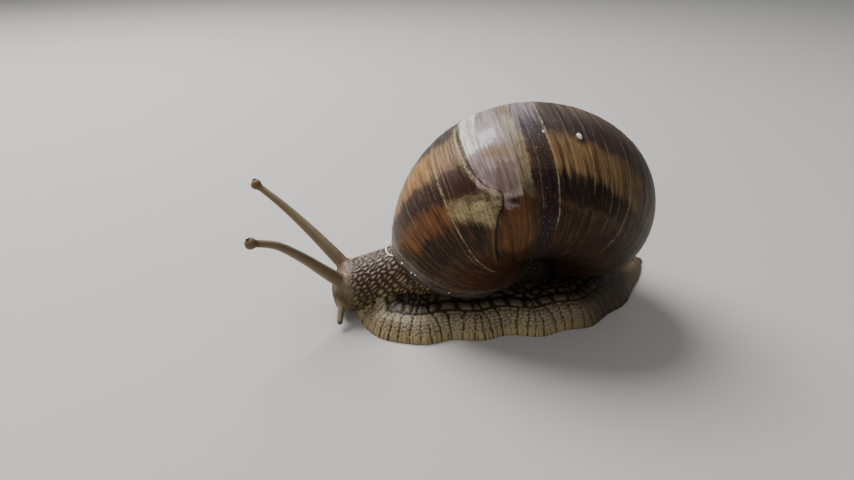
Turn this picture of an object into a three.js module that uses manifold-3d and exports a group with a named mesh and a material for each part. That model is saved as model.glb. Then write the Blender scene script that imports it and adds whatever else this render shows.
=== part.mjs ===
// Land snail, a large banded Helix, crawling with its head and feelers stretched out.
// Millimetres. +Z is up, the head looks toward -X and the sole lies on z = 0.
import * as THREE from "three";
import { mergeVertices } from "three/addons/utils/BufferGeometryUtils.js";
import Module from "manifold-3d";

const wasm = await Module();
wasm.setup();

const { sin, cos, exp, log, abs, min, max, PI } = Math;
const radians = THREE.MathUtils.degToRad;
const smooth = THREE.MathUtils.smoothstep;

// ---- driving dimensions -------------------------------------------------------------------

const GAP = 0.3; // left between parts that touch
const SLIVER = 0.03; // the cuts leave no edge shorter than this

// The shell grows along a spiral about a tilted axis. Its section is an ellipse, and lengths
// without a unit are in half widths of that ellipse, so they grow with the shell.
const SHELL = {
  apex: [22.2, 12.45, 25.95],
  axisAzimuth: 53.6, // degrees from +X toward +Y
  axisRise: 30.2,
  lipTurn: -29.4, // turn of the lip about the axis
  halfWidth: 13.72, // mm, of the mouth's section
  growth: 2.0, // how much larger after each turn
  centreOut: 0.88, // section centre from the axis
  centreDown: 1.8, // section centre below the apex
  tall: 1.24, // section height over its width
  tilt: 5.6, // degrees that the section leans out at the top
  slant: 21.3, // degrees that the growth lines lean back from base to top
  turns: 4.2,
};
const LIP = { wide: 3.5, thick: 0.8, from: -128, to: 112 }; // degrees of growth, mm, degrees
const MOUTH = { wall: 0.95, deep: 13 }; // mm, degrees of growth
// the pillar round the axis, as pairs of radius and depth below the apex, mm
const COLUMELLA = [[3.0, 26.8], [3.6, 25.3], [3.1, 22.8], [2.2, 17.8], [2.2, 11.0], [1.1, 8.4]];
const SPIRE_PILLAR = [[1.0, 12.0], [1.0, 6.0], [0.5, 4.4]];
const SPIRE_FROM = -420; // degrees of growth where the body whorl ends and the spire begins
const APEX_FROM = -780;
const NUCLEUS = { radius: 0.75, down: 1.35 }; // mm, the rounded beginning of the shell
const GAP_TURN = 0.9; // degrees of growth that keep the gap at the shell's wide side
const SPIRE_GAP_TURN = 2.2; // the same where the shell is half as wide
// degrees of growth between rings, and points in a ring
const WHORL = [12, 28];
const SPIRE = [20, 18];
const TIP = [36, 10];

const FOOT = {
  front: -21.1,
  tip: 38,
  halfWidth: 11.9,
  rearBulge: 1.7, // wider behind the middle
  frontRound: 0.12, // share of the length that the round front takes
  tailFrom: 0.6,
  startY: 2.5,
  tipY: 6.0,
  bow: 3.9, // the middle bends toward -Y
  edge: 0.6, // thickness at the margin
  fringeWidth: 3.0,
  fringeHeight: 3.2,
  backHeight: 5.2,
  ripple: 0.45, // the margin waves in and out
  rippleLength: 9.5,
  rippleStart: 90, // degrees of the wave at the front
  tipWidth: 0.9, // half width where the tail ends
};
// Across the foot, its back has points at these shares of the fringe's width from each margin,
// and at these shares of the half width from the middle.
const FRINGE_POINTS = [0, 0.12, 0.35, 0.7, 1.05, 1.5];
const BACK_POINTS = [-0.4, 0, 0.4];
const SOLE_POINTS = [1, 0.33, -0.33, -1];

const FOOT_CUTS = { foot_front: -6, foot_middle: 9.5, foot_rear: 25, tail: 50 };

// Head, neck and trunk are one loft of upright ellipses: x, y and z of the centre, half width
// and half height.
const BODY = [
  [-24.8, 2.3, 3.8, 0.3, 0.3],
  [-24.5, 2.3, 3.9, 2.3, 2.0],
  [-23.6, 2.3, 4.3, 3.9, 3.4],
  [-22, 2.5, 4.8, 4.9, 4.2],
  [-19.6, 2.7, 5.0, 5.2, 4.5],
  [-16.6, 2.9, 5.3, 5.3, 4.8],
  [-13.1, 2.8, 5.9, 5.9, 5.1],
  [-8.6, 2.6, 7.2, 7.2, 6.2],
  [-3.6, 2.5, 8.6, 8.2, 7.4],
  [2.4, 2.2, 9.0, 8.4, 8.0],
  [8.4, 1.6, 8.0, 7.4, 7.0],
  [12.9, 1.2, 6.2, 5.2, 5.0],
  [15.4, 1.0, 5.2, 0.6, 0.6],
];
const BODY_CUTS = { head: -19, neck: -10.2, trunk: 30 };

// Feelers: middle line from the head to the tip, radius at the base, behind the knob, and of
// the knob itself.
const UPPER = {
  left: [[-21.2, 2.2, 5.8], [-23.5, 0.9, 7.1], [-26.2, -0.7, 10.1], [-29.6, -2.8, 14.1],
    [-33.4, -4.7, 17.6], [-37.8, -6.6, 19.4]],
  right: [[-20.8, 3.6, 6.4], [-23.1, 5.4, 9.0], [-27.3, 8.5, 13.5], [-31.8, 11.3, 17.9],
    [-36.2, 13.8, 21.5]],
};
const UPPER_RADII = { base: 1.35, stalk: 0.55, knob: 0.95 };
const UPPER_CUTS = [0, 0.36, 0.7, 1];
const LOWER = {
  left: [[-22.8, 0.4, 3.6], [-23.8, -1.4, 2.6], [-24.5, -3.6, 1.1]],
  right: [[-22.8, 4.4, 3.6], [-23.5, 5.8, 2.5], [-23.6, 7.4, 1.1]],
};
const LOWER_RADII = { base: 0.8, stalk: 0.45, knob: 0.5 };
// the eye's centre stands out of the knob's centre along the feeler, and a little up
const EYE = { radius: 0.42, out: 0.3, up: 0.55, socket: 0.67 };
const UPPER_STEPS = [5, 9]; // rings in each length of a feeler, and points in a ring
const LOWER_STEPS = [4, 9];

const COLOURS = {
  shell: [0x4a2f1c, 0.3],
  spire: [0x3a2820, 0.35],
  lip: [0x4a4238, 0.4],
  collar: [0x8f7c5e, 0.5],
  head: [0x6a4e33, 0.5],
  neck: [0x6f5838, 0.55],
  trunk: [0x5d4c33, 0.55],
  foot: [0x7d6c52, 0.55],
  feeler: [0x8d8269, 0.45],
  eye: [0x16110d, 0.1],
};

// ---- solids -------------------------------------------------------------------------------

// A closed body from rings of points, each ring with the same count, its ends closed by fans.
function loftGeometry(rings) {
  const count = rings[0].length;
  const positions = [];
  const faces = [];
  const put = (p) => positions.push(p.x, p.y, p.z) / 3 - 1;
  const index = rings.map((ring) => ring.map(put));
  for (let i = 0; i + 1 < rings.length; i++) {
    for (let j = 0; j < count; j++) {
      const k = (j + 1) % count;
      faces.push(index[i][j], index[i + 1][j], index[i + 1][k]);
      faces.push(index[i][j], index[i + 1][k], index[i][k]);
    }
  }
  const middle = (ring) => {
    const centre = new THREE.Vector3();
    for (const p of ring) centre.addScaledVector(p, 1 / count);
    return put(centre);
  };
  const first = middle(rings[0]);
  const last = middle(rings.at(-1));
  for (let j = 0; j < count; j++) {
    const k = (j + 1) % count;
    faces.push(first, index[0][j], index[0][k]);
    faces.push(last, index.at(-1)[k], index.at(-1)[j]);
  }
  const geometry = new THREE.BufferGeometry();
  geometry.setAttribute("position", new THREE.Float32BufferAttribute(positions, 3));
  geometry.setIndex(faces);
  return geometry;
}

// six times the volume, negative where the faces point inwards
function signedVolume(geometry) {
  const p = geometry.attributes.position;
  const index = geometry.index.array;
  const [a, b, c] = [0, 1, 2].map(() => new THREE.Vector3());
  let total = 0;
  for (let i = 0; i < index.length; i += 3) {
    a.fromBufferAttribute(p, index[i]);
    b.fromBufferAttribute(p, index[i + 1]);
    c.fromBufferAttribute(p, index[i + 2]);
    total += a.dot(b.cross(c));
  }
  return total;
}

function solid(geometry) {
  geometry.deleteAttribute("normal");
  geometry.deleteAttribute("uv");
  const merged = mergeVertices(geometry, 1e-4);
  const index = Array.from(merged.index.array);
  if (signedVolume(merged) < 0) {
    for (let i = 0; i < index.length; i += 3) [index[i], index[i + 1]] = [index[i + 1], index[i]];
  }
  return new wasm.Manifold(new wasm.Mesh({
    numProp: 3,
    vertProperties: Float32Array.from(merged.attributes.position.array),
    triVerts: Uint32Array.from(index),
  }));
}

const loft = (rings) => solid(loftGeometry(rings));
const join = (solids) => solids.reduce((whole, next) => whole.add(next));

// a box that keeps what lies between two values of x
function slab(fromX, toX) {
  const box = new THREE.BoxGeometry(toX - fromX, 200, 200);
  box.translate((fromX + toX) / 2, 0, 0);
  return solid(box);
}

function ball(centre, radius) {
  const geometry = new THREE.SphereGeometry(radius, 10, 6);
  geometry.translate(centre.x, centre.y, centre.z);
  return solid(geometry);
}

function mesh(name, shape, [colour, roughness]) {
  const { vertProperties, triVerts } = shape.simplify(SLIVER).getMesh();
  const geometry = new THREE.BufferGeometry();
  geometry.setAttribute("position", new THREE.BufferAttribute(vertProperties, 3));
  geometry.setIndex(new THREE.BufferAttribute(triVerts, 1));
  const flat = geometry.toNonIndexed();
  flat.computeVertexNormals();
  const material = new THREE.MeshStandardMaterial({ color: colour, roughness, metalness: 0 });
  const part = new THREE.Mesh(flat, material);
  part.name = name;
  return part;
}

// ---- shell --------------------------------------------------------------------------------

const axis = new THREE.Vector3(
  cos(radians(SHELL.axisRise)) * cos(radians(SHELL.axisAzimuth)),
  cos(radians(SHELL.axisRise)) * sin(radians(SHELL.axisAzimuth)),
  sin(radians(SHELL.axisRise)));
const toLip = new THREE.Vector3(-1, 0, 0).projectOnPlane(axis).normalize()
  .applyAxisAngle(axis, radians(SHELL.lipTurn));
const acrossLip = new THREE.Vector3().crossVectors(axis, toLip);
const apex = new THREE.Vector3(...SHELL.apex);
const rate = log(SHELL.growth) / (2 * PI);

// A point of the whorls. growth is 0 at the lip and negative toward the apex, around is 0 at
// the periphery and 90 toward the apex (degrees), and proud is how far outside the shell's own
// surface the point lies, in mm.
function shellPoint(growth, around, proud = 0) {
  const phi = radians(around);
  const turn = radians(growth + SHELL.slant * sin(phi));
  const size = SHELL.halfWidth * exp(rate * turn);
  const swell = 1 + proud / size;
  const [x, y] = [swell * cos(phi), swell * SHELL.tall * sin(phi)];
  const t = radians(SHELL.tilt);
  const out = max(size * (SHELL.centreOut + cos(t) * x - sin(t) * y), 0.05 * size);
  const up = size * (-SHELL.centreDown + sin(t) * x + cos(t) * y);
  return apex.clone()
    .addScaledVector(toLip, out * cos(turn))
    .addScaledVector(acrossLip, -out * sin(turn))
    .addScaledVector(axis, up);
}

function whorlRing(growth, sides, proud) {
  return Array.from({ length: sides }, (_, j) => shellPoint(growth, 360 * j / sides, proud));
}

// The whorls from one growth to another, joined from half turns that don't meet themselves.
function whorls(from, to, step, sides, proud = 0) {
  const parts = [];
  for (let start = from; start < to - 1; start += 180) {
    const end = min(start + 180, to);
    const count = Math.ceil((end - start) / step);
    parts.push(loft(Array.from({ length: count + 1 },
      (_, i) => whorlRing(start + (end - start) * i / count, sides, proud))));
  }
  return join(parts);
}

// a pillar round the axis, which closes the middle of the whorls
function pillar(stations, proud = 0) {
  const profile = stations.map(([radius, down]) => new THREE.Vector2(radius + proud, -down));
  const ends = [profile[0], profile.at(-1)].map((p) => new THREE.Vector2(0, p.y));
  const geometry = new THREE.LatheGeometry([ends[0], ...profile, ends[1]], 14);
  geometry.applyQuaternion(new THREE.Quaternion().setFromUnitVectors(new THREE.Vector3(0, 1, 0), axis));
  geometry.translate(apex.x, apex.y, apex.z);
  return solid(geometry);
}

// the raised rim at the mouth's free edge
function lipRim() {
  const steps = 26;
  const rings = Array.from({ length: steps + 1 }, (_, i) => {
    const around = LIP.from + (LIP.to - LIP.from) * i / steps;
    const thick = LIP.thick * (0.6 + 0.4 * sin(PI * i / steps));
    return [
      shellPoint(-LIP.wide, around, 0),
      shellPoint(0, around, 0),
      shellPoint(0, around, -thick),
      shellPoint(-LIP.wide, around, -thick),
    ];
  });
  return loft(rings);
}

const mouthSpace = whorls(-MOUTH.deep, 8, 7, 28, -MOUTH.wall);
const lastHalf = whorls(SPIRE_FROM + 180, -LIP.wide - GAP_TURN, ...WHORL).subtract(mouthSpace);
const bodyWhorl = lastHalf.add(whorls(SPIRE_FROM, SPIRE_FROM + 180, ...WHORL))
  .add(pillar(COLUMELLA));
const bodyWhorlRoom = whorls(SPIRE_FROM - SPIRE_GAP_TURN, 2, ...WHORL, GAP)
  .add(pillar(COLUMELLA, GAP));
const spire = whorls(APEX_FROM, SPIRE_FROM - SPIRE_GAP_TURN, ...SPIRE).add(pillar(SPIRE_PILLAR))
  .subtract(bodyWhorlRoom);
const spireRoom = whorls(APEX_FROM - SPIRE_GAP_TURN, SPIRE_FROM, ...SPIRE, GAP)
  .add(pillar(SPIRE_PILLAR, GAP));
const nucleus = ball(apex.clone().addScaledVector(axis, -NUCLEUS.down), NUCLEUS.radius);
const tip = whorls(-360 * SHELL.turns, APEX_FROM - 2 * SPIRE_GAP_TURN, ...TIP).add(nucleus)
  .subtract(spireRoom).subtract(bodyWhorlRoom);
const insideMouth = whorls(SPIRE_FROM - 30, SPIRE_FROM + 180, ...WHORL, GAP)
  .add(pillar(COLUMELLA, GAP));
const collar = whorls(-MOUTH.deep + 1.5, -1.5, 5, 28, -MOUTH.wall - GAP).subtract(insideMouth);
const lip = lipRim().subtract(insideMouth);

const shellParts = [
  mesh("shell_body_whorl", bodyWhorl, COLOURS.shell),
  mesh("shell_spire", spire, COLOURS.spire),
  mesh("shell_apex", tip, COLOURS.spire),
  mesh("shell_lip", lip, COLOURS.lip),
  mesh("mantle_collar", collar, COLOURS.collar),
];

// ---- foot ---------------------------------------------------------------------------------

const footShare = (x) => (x - FOOT.front) / (FOOT.tip - FOOT.front);

function footMiddle(x) {
  const u = footShare(x);
  return FOOT.startY + (FOOT.tipY - FOOT.startY) * u * u - FOOT.bow * max(sin(PI * u), 0) ** 1.2;
}

function footHalfWidth(x) {
  const u = footShare(x);
  const full = FOOT.halfWidth + FOOT.rearBulge * smooth(u, 0.34, 0.58);
  const wave = 2 * PI * (x - FOOT.front) / FOOT.rippleLength + radians(FOOT.rippleStart);
  const ripple = FOOT.ripple * sin(wave);
  const front = (1 - max(1 - u / FOOT.frontRound, 0) ** 2.5) ** 0.5;
  const tail = max(1 - max((u - FOOT.tailFrom) / (1 - FOOT.tailFrom), 0) ** 2, 0) ** 0.85;
  return (full + ripple) * front * tail;
}

// height of the foot's back, inward from the margin
function footHeight(x, inward, halfWidth) {
  const u = footShare(x);
  const ends = min(1, 0.45 + u / 0.12) * (1 - 0.55 * smooth(u, 0.72, 1));
  const rise = sin(PI / 2 * min(inward / FOOT.fringeWidth, 1)) ** 0.9;
  const back = smooth(inward, FOOT.fringeWidth, max(halfWidth, FOOT.fringeWidth + 1));
  return ends * (FOOT.edge + (FOOT.fringeHeight - FOOT.edge) * rise
    + (FOOT.backHeight - FOOT.fringeHeight) * back);
}

function footSection(x, lift) {
  const half = max(footHalfWidth(x), FOOT.tipWidth);
  const middle = footMiddle(x);
  const deepest = FRINGE_POINTS.at(-1);
  const inward = FRINGE_POINTS.map((share) => min(share * FOOT.fringeWidth, half * share / deepest));
  const across = [
    ...inward.map((d) => d - half),
    ...BACK_POINTS.map((share) => share * half),
    ...inward.map((d) => half - d).reverse(),
  ];
  const back = across.map((y) => (
    new THREE.Vector3(x, middle + y, lift + footHeight(x, half - abs(y), half))));
  const sole = SOLE_POINTS.map((share) => new THREE.Vector3(x, middle + share * half, lift));
  return [...back, ...sole];
}

function foot(lift = 0) {
  const stations = 34;
  return loft(Array.from({ length: stations + 1 }, (_, i) => {
    const even = i / stations;
    const u = (1 - cos(PI * even)) / 2 * 0.35 + even * 0.65;
    return footSection(FOOT.front + 0.02 + (FOOT.tip - FOOT.front - 0.04) * u, lift);
  }));
}

const wholeFoot = foot().subtract(bodyWhorlRoom);
const footParts = [];
let footFrom = -60;
for (const [name, toX] of Object.entries(FOOT_CUTS)) {
  footParts.push(mesh(name, wholeFoot.intersect(slab(footFrom, toX)), COLOURS.foot));
  footFrom = toX + GAP;
}

// ---- head, neck and trunk -----------------------------------------------------------------

// Catmull-Rom between the stations of BODY
function bodyStation(t) {
  const last = BODY.length - 1;
  const i = min(Math.floor(t * last), last - 1);
  const f = t * last - i;
  const at = (k) => BODY[min(max(k, 0), last)];
  return BODY[0].map((_, c) => {
    const [p0, p1, p2, p3] = [at(i - 1)[c], at(i)[c], at(i + 1)[c], at(i + 2)[c]];
    return 0.5 * (2 * p1 + (p2 - p0) * f + (2 * p0 - 5 * p1 + 4 * p2 - p3) * f * f
      + (3 * p1 - p0 - 3 * p2 + p3) * f * f * f);
  });
}

function headAndTrunk(proud = 0) {
  const [stations, sides] = [25, 18];
  return loft(Array.from({ length: stations + 1 }, (_, i) => {
    const [x, y, z, wide, high] = bodyStation(i / stations);
    return Array.from({ length: sides }, (_, j) => {
      const a = 2 * PI * j / sides;
      return new THREE.Vector3(
        x - (i === 0 ? proud : 0), y + (wide + proud) * cos(a), z + (high + proud) * sin(a));
    });
  }));
}

const wholeBody = headAndTrunk().subtract(foot(GAP)).subtract(bodyWhorlRoom);
const bodyColours = { head: COLOURS.head, neck: COLOURS.neck, trunk: COLOURS.trunk };
const bodyParts = [];
let bodyFrom = -60;
for (const [name, toX] of Object.entries(BODY_CUTS)) {
  bodyParts.push(mesh(name, wholeBody.intersect(slab(bodyFrom, toX)), bodyColours[name]));
  bodyFrom = toX + GAP;
}

// ---- feelers and eyes ---------------------------------------------------------------------

// a round tube along a curve, its radius given by the share of the way along
function tube(curve, from, to, steps, sides, radiusAt) {
  const up = new THREE.Vector3(0, 0, 1);
  return loft(Array.from({ length: steps + 1 }, (_, i) => {
    const t = from + (to - from) * i / steps;
    const tangent = curve.getTangentAt(t);
    const side = new THREE.Vector3().crossVectors(tangent, up).normalize();
    const over = new THREE.Vector3().crossVectors(side, tangent);
    const radius = radiusAt(t);
    return Array.from({ length: sides }, (_, j) => curve.getPointAt(t)
      .addScaledVector(side, radius * cos(2 * PI * j / sides))
      .addScaledVector(over, radius * sin(2 * PI * j / sides)));
  }));
}

const headRoom = headAndTrunk(GAP).add(foot(GAP));
const feelerParts = [];
for (const [side, points] of Object.entries(UPPER)) {
  const curve = new THREE.CatmullRomCurve3(points.map((p) => new THREE.Vector3(...p)));
  const length = curve.getLength();
  const { base, stalk, knob } = UPPER_RADII;
  const radiusAt = (t) => stalk + (base - stalk) * (1 - t) ** 1.3;
  const knobCentre = curve.getPointAt(1 - knob / length);
  const eyeCentre = knobCentre.clone()
    .addScaledVector(curve.getTangentAt(1), EYE.out)
    .add(new THREE.Vector3(0, 0, EYE.up));
  ["base", "middle", "tip"].forEach((length3, i) => {
    const from = UPPER_CUTS[i] + (i > 0 ? GAP / length : 0);
    const to = i === 2 ? 1 - knob / length : UPPER_CUTS[i + 1];
    let piece = tube(curve, from, to, ...UPPER_STEPS, radiusAt);
    if (i === 0) piece = piece.subtract(headRoom);
    if (i === 2) piece = piece.add(ball(knobCentre, knob)).subtract(ball(eyeCentre, EYE.socket));
    feelerParts.push(mesh(`${side}_upper_tentacle_${length3}`, piece, COLOURS.feeler));
  });
  feelerParts.push(mesh(`${side}_eye`, ball(eyeCentre, EYE.radius), COLOURS.eye));
}
for (const [side, points] of Object.entries(LOWER)) {
  const curve = new THREE.CatmullRomCurve3(points.map((p) => new THREE.Vector3(...p)));
  const { base, stalk, knob } = LOWER_RADII;
  const piece = tube(curve, 0, 1, ...LOWER_STEPS, (t) => stalk + (base - stalk) * (1 - t) ** 1.2)
    .add(ball(curve.getPointAt(1), knob)).subtract(headRoom);
  feelerParts.push(mesh(`${side}_lower_tentacle`, piece, COLOURS.feeler));
}

const snail = new THREE.Group();
snail.add(...shellParts, ...bodyParts, ...footParts, ...feelerParts);

export default snail;
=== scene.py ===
import math
from types import SimpleNamespace

import bmesh
import bpy
import numpy as np
from bpy.props import FloatProperty, FloatVectorProperty, PointerProperty
from mathutils import Matrix, Vector


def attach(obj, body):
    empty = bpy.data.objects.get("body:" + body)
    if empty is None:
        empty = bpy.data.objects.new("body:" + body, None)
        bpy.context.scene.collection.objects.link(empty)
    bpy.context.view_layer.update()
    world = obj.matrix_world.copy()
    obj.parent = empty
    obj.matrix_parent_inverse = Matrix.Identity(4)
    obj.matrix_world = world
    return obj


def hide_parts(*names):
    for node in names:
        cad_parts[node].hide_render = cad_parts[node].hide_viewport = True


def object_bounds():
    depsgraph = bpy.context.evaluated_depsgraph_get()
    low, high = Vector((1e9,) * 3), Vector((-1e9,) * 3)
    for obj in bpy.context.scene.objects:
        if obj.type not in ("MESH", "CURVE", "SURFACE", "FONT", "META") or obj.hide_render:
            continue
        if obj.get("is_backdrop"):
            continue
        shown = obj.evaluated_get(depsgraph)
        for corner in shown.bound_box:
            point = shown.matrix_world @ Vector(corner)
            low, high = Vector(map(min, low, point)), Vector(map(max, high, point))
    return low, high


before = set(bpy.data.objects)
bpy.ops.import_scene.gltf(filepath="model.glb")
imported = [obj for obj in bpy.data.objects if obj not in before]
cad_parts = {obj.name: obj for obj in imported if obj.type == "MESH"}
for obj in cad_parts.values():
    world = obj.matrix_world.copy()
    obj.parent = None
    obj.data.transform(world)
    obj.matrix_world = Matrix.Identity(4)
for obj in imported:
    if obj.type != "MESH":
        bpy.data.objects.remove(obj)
CAD_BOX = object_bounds()

bl_info = {
    "name": "Land Snail",
    "version": (1, 0, 0),
    "blender": (4, 5, 0),
    "location": "3D View > Sidebar > Snail",
    "description": "Builds a crawling land snail with a banded shell and a warty skin",
    "category": "Object",
}

# Lengths are worked out in millimetres and turned into metres when a piece is finished.
MM = 0.001
TURN = 360.0

# ---- shape of the shell ----
# A point of the shell is given by its growth (degrees back from the lip), around (degrees round
# the whorl's section, 0 at the periphery and 90 toward the apex) and proud (mm outside).
APEX = (22.2, 12.45, 25.95)
AXIS_AZIMUTH = 53.6
AXIS_RISE = 30.2
LIP_TURN = -29.4
SECTION = {
    "Half Width": 13.72,
    "Growth per Turn": 2.0,
    "Centre Out": 0.88,
    "Centre Down": 1.8,
    "Tall": 1.24,
    "Tilt": 5.6,
    "Slant": 21.3,
}
TURNS = 4.2
WALL = 0.95
RIM_AT = -3.3  # growth where the old shell ends and the new lip begins
MOUTH_DEEP = -13.0
POLE = -1000.0  # a proud value that shrinks the section to its centre
SUTURE = 92.0  # around, where a whorl meets the one before
BASE_END = -158.0  # around, where it meets the pillar
ROWS_SEEN = 70
ROWS_HIDDEN = 6
LIP_LINE_DEPTH = 0.05
PILLAR_RINGS = 60
PILLAR_SIDES = 40
PILLAR_LOOKS = (-20.0, -140.0, -0.6)  # the growth, around and proud that colour it
# The pillar's radius and how far it is below the apex.
COLUMELLA = [(0.0, 26.9), (2.4, 26.8), (3.0, 26.3), (3.6, 25.3), (3.3, 23.8), (3.1, 22.8),
             (2.2, 17.8), (2.2, 11.0), (1.1, 8.4), (0.0, 8.3)]

# ---- shape of the foot and body ----
FOOT = {
    "front": -21.1, "tip": 38.0, "half": 11.9, "rear_bulge": 1.7, "front_round": 0.12,
    "tail_from": 0.6, "start_y": 2.5, "tip_y": 6.0, "bow": 3.9, "edge": 0.6,
    "fringe_width": 3.0, "fringe_height": 3.2, "back_height": 5.2,
    "ripple": 0.45, "ripple_length": 9.5, "tip_width": 0.9,
}
BODY = np.array([
    (-24.8, 2.3, 3.8, 0.3, 0.3), (-24.5, 2.3, 3.9, 2.3, 2.0), (-23.6, 2.3, 4.3, 3.9, 3.4),
    (-22.0, 2.5, 4.8, 4.9, 4.2), (-19.6, 2.7, 5.0, 5.2, 4.5), (-16.6, 2.9, 5.3, 5.3, 4.8),
    (-13.1, 2.8, 5.9, 5.9, 5.1), (-8.6, 2.6, 7.2, 7.2, 6.2), (-3.6, 2.5, 8.6, 8.2, 7.4),
    (2.4, 2.2, 9.0, 8.4, 8.0), (8.4, 1.6, 8.0, 7.4, 7.0), (12.9, 1.2, 6.2, 5.2, 5.0),
    (15.4, 1.0, 5.2, 0.6, 0.6),
])
UPPER = {
    "left": [(-21.2, 2.2, 5.8), (-23.5, 0.9, 7.1), (-26.2, -0.7, 10.1), (-29.6, -2.8, 14.1),
             (-33.4, -4.7, 17.6), (-37.8, -6.6, 19.4)],
    "right": [(-20.8, 3.6, 6.4), (-23.1, 5.4, 9.0), (-27.3, 8.5, 13.5), (-31.8, 11.3, 17.9),
              (-36.2, 13.8, 21.5)],
}
UPPER_RADII = (1.35, 0.55, 0.95, 1.3)  # base, stalk, knob, how soon it narrows
LOWER = {
    "left": [(-22.8, 0.4, 3.6), (-23.8, -1.4, 2.6), (-24.5, -3.6, 1.1)],
    "right": [(-22.8, 4.4, 3.6), (-23.5, 5.8, 2.5), (-23.6, 7.4, 1.1)],
}
LOWER_RADII = (0.8, 0.45, 0.5, 1.2)
FEELERS = [(UPPER, UPPER_RADII), (LOWER, LOWER_RADII)]
FEELER_RINGS = 80
FEELER_SIDES = 28
FOOT_RINGS = 240
FOOT_OVER = 64  # points of a ring over the foot
FOOT_UNDER = 8
TRUNK_RINGS = 130
TRUNK_SIDES = 72
EYE_OUT = 0.3
EYE_UP = 0.55
EYE_RADIUS = 0.42


def srgb(code):
    """A colour code such as "8a6a40" as linear red, green, blue and alpha."""
    parts = [int(code[i:i + 2], 16) / 255 for i in (0, 2, 4)]
    linear = [p / 12.92 if p <= 0.04045 else ((p + 0.055) / 1.055) ** 2.4 for p in parts]
    return (*linear, 1.0)


# ---- node trees ----

class Field:
    """A socket of a node tree that can be used in sums."""

    def __init__(self, tree, socket):
        self.tree = tree
        self.socket = socket

    def __add__(self, other):
        return self.tree.math("ADD", self, other)

    def __sub__(self, other):
        return self.tree.math("SUBTRACT", self, other)

    def __rsub__(self, other):
        return self.tree.math("SUBTRACT", other, self)

    def __mul__(self, other):
        return self.tree.math("MULTIPLY", self, other)

    def __truediv__(self, other):
        return self.tree.math("DIVIDE", self, other)

    def __abs__(self):
        return self.tree.math("ABSOLUTE", self)

    def larger(self, other):
        return self.tree.math("MAXIMUM", self, other)

    def smaller(self, other):
        return self.tree.math("MINIMUM", self, other)

    def smooth(self, low, high):
        """0 at low, 1 at high and a smooth rise between them."""
        return self.tree.field("ShaderNodeMapRange", {0: self, 1: low, 2: high},
                               interpolation_type="SMOOTHSTEP")

    def window(self, low, high, soft):
        """1 between low and high, 0 outside, with soft edges."""
        return self.smooth(low - soft, low + soft) * self.smooth(high + soft, high - soft)

    def bell(self, centre, width):
        """1 at the centre, and less the more widths away."""
        share = (self - centre) / width
        return self.tree.math("EXPONENT", share * share * -1.0)

    def part(self, number):
        """The x, y or z of a vector."""
        return self.tree.field("ShaderNodeSeparateXYZ", {0: self}, out=number)

    def coats(self, *layers):
        """This colour under coats, each a share and a colour."""
        paint = self
        for share, colour in layers:
            paint = self.tree.mix(share, paint, colour)
        return paint


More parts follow.
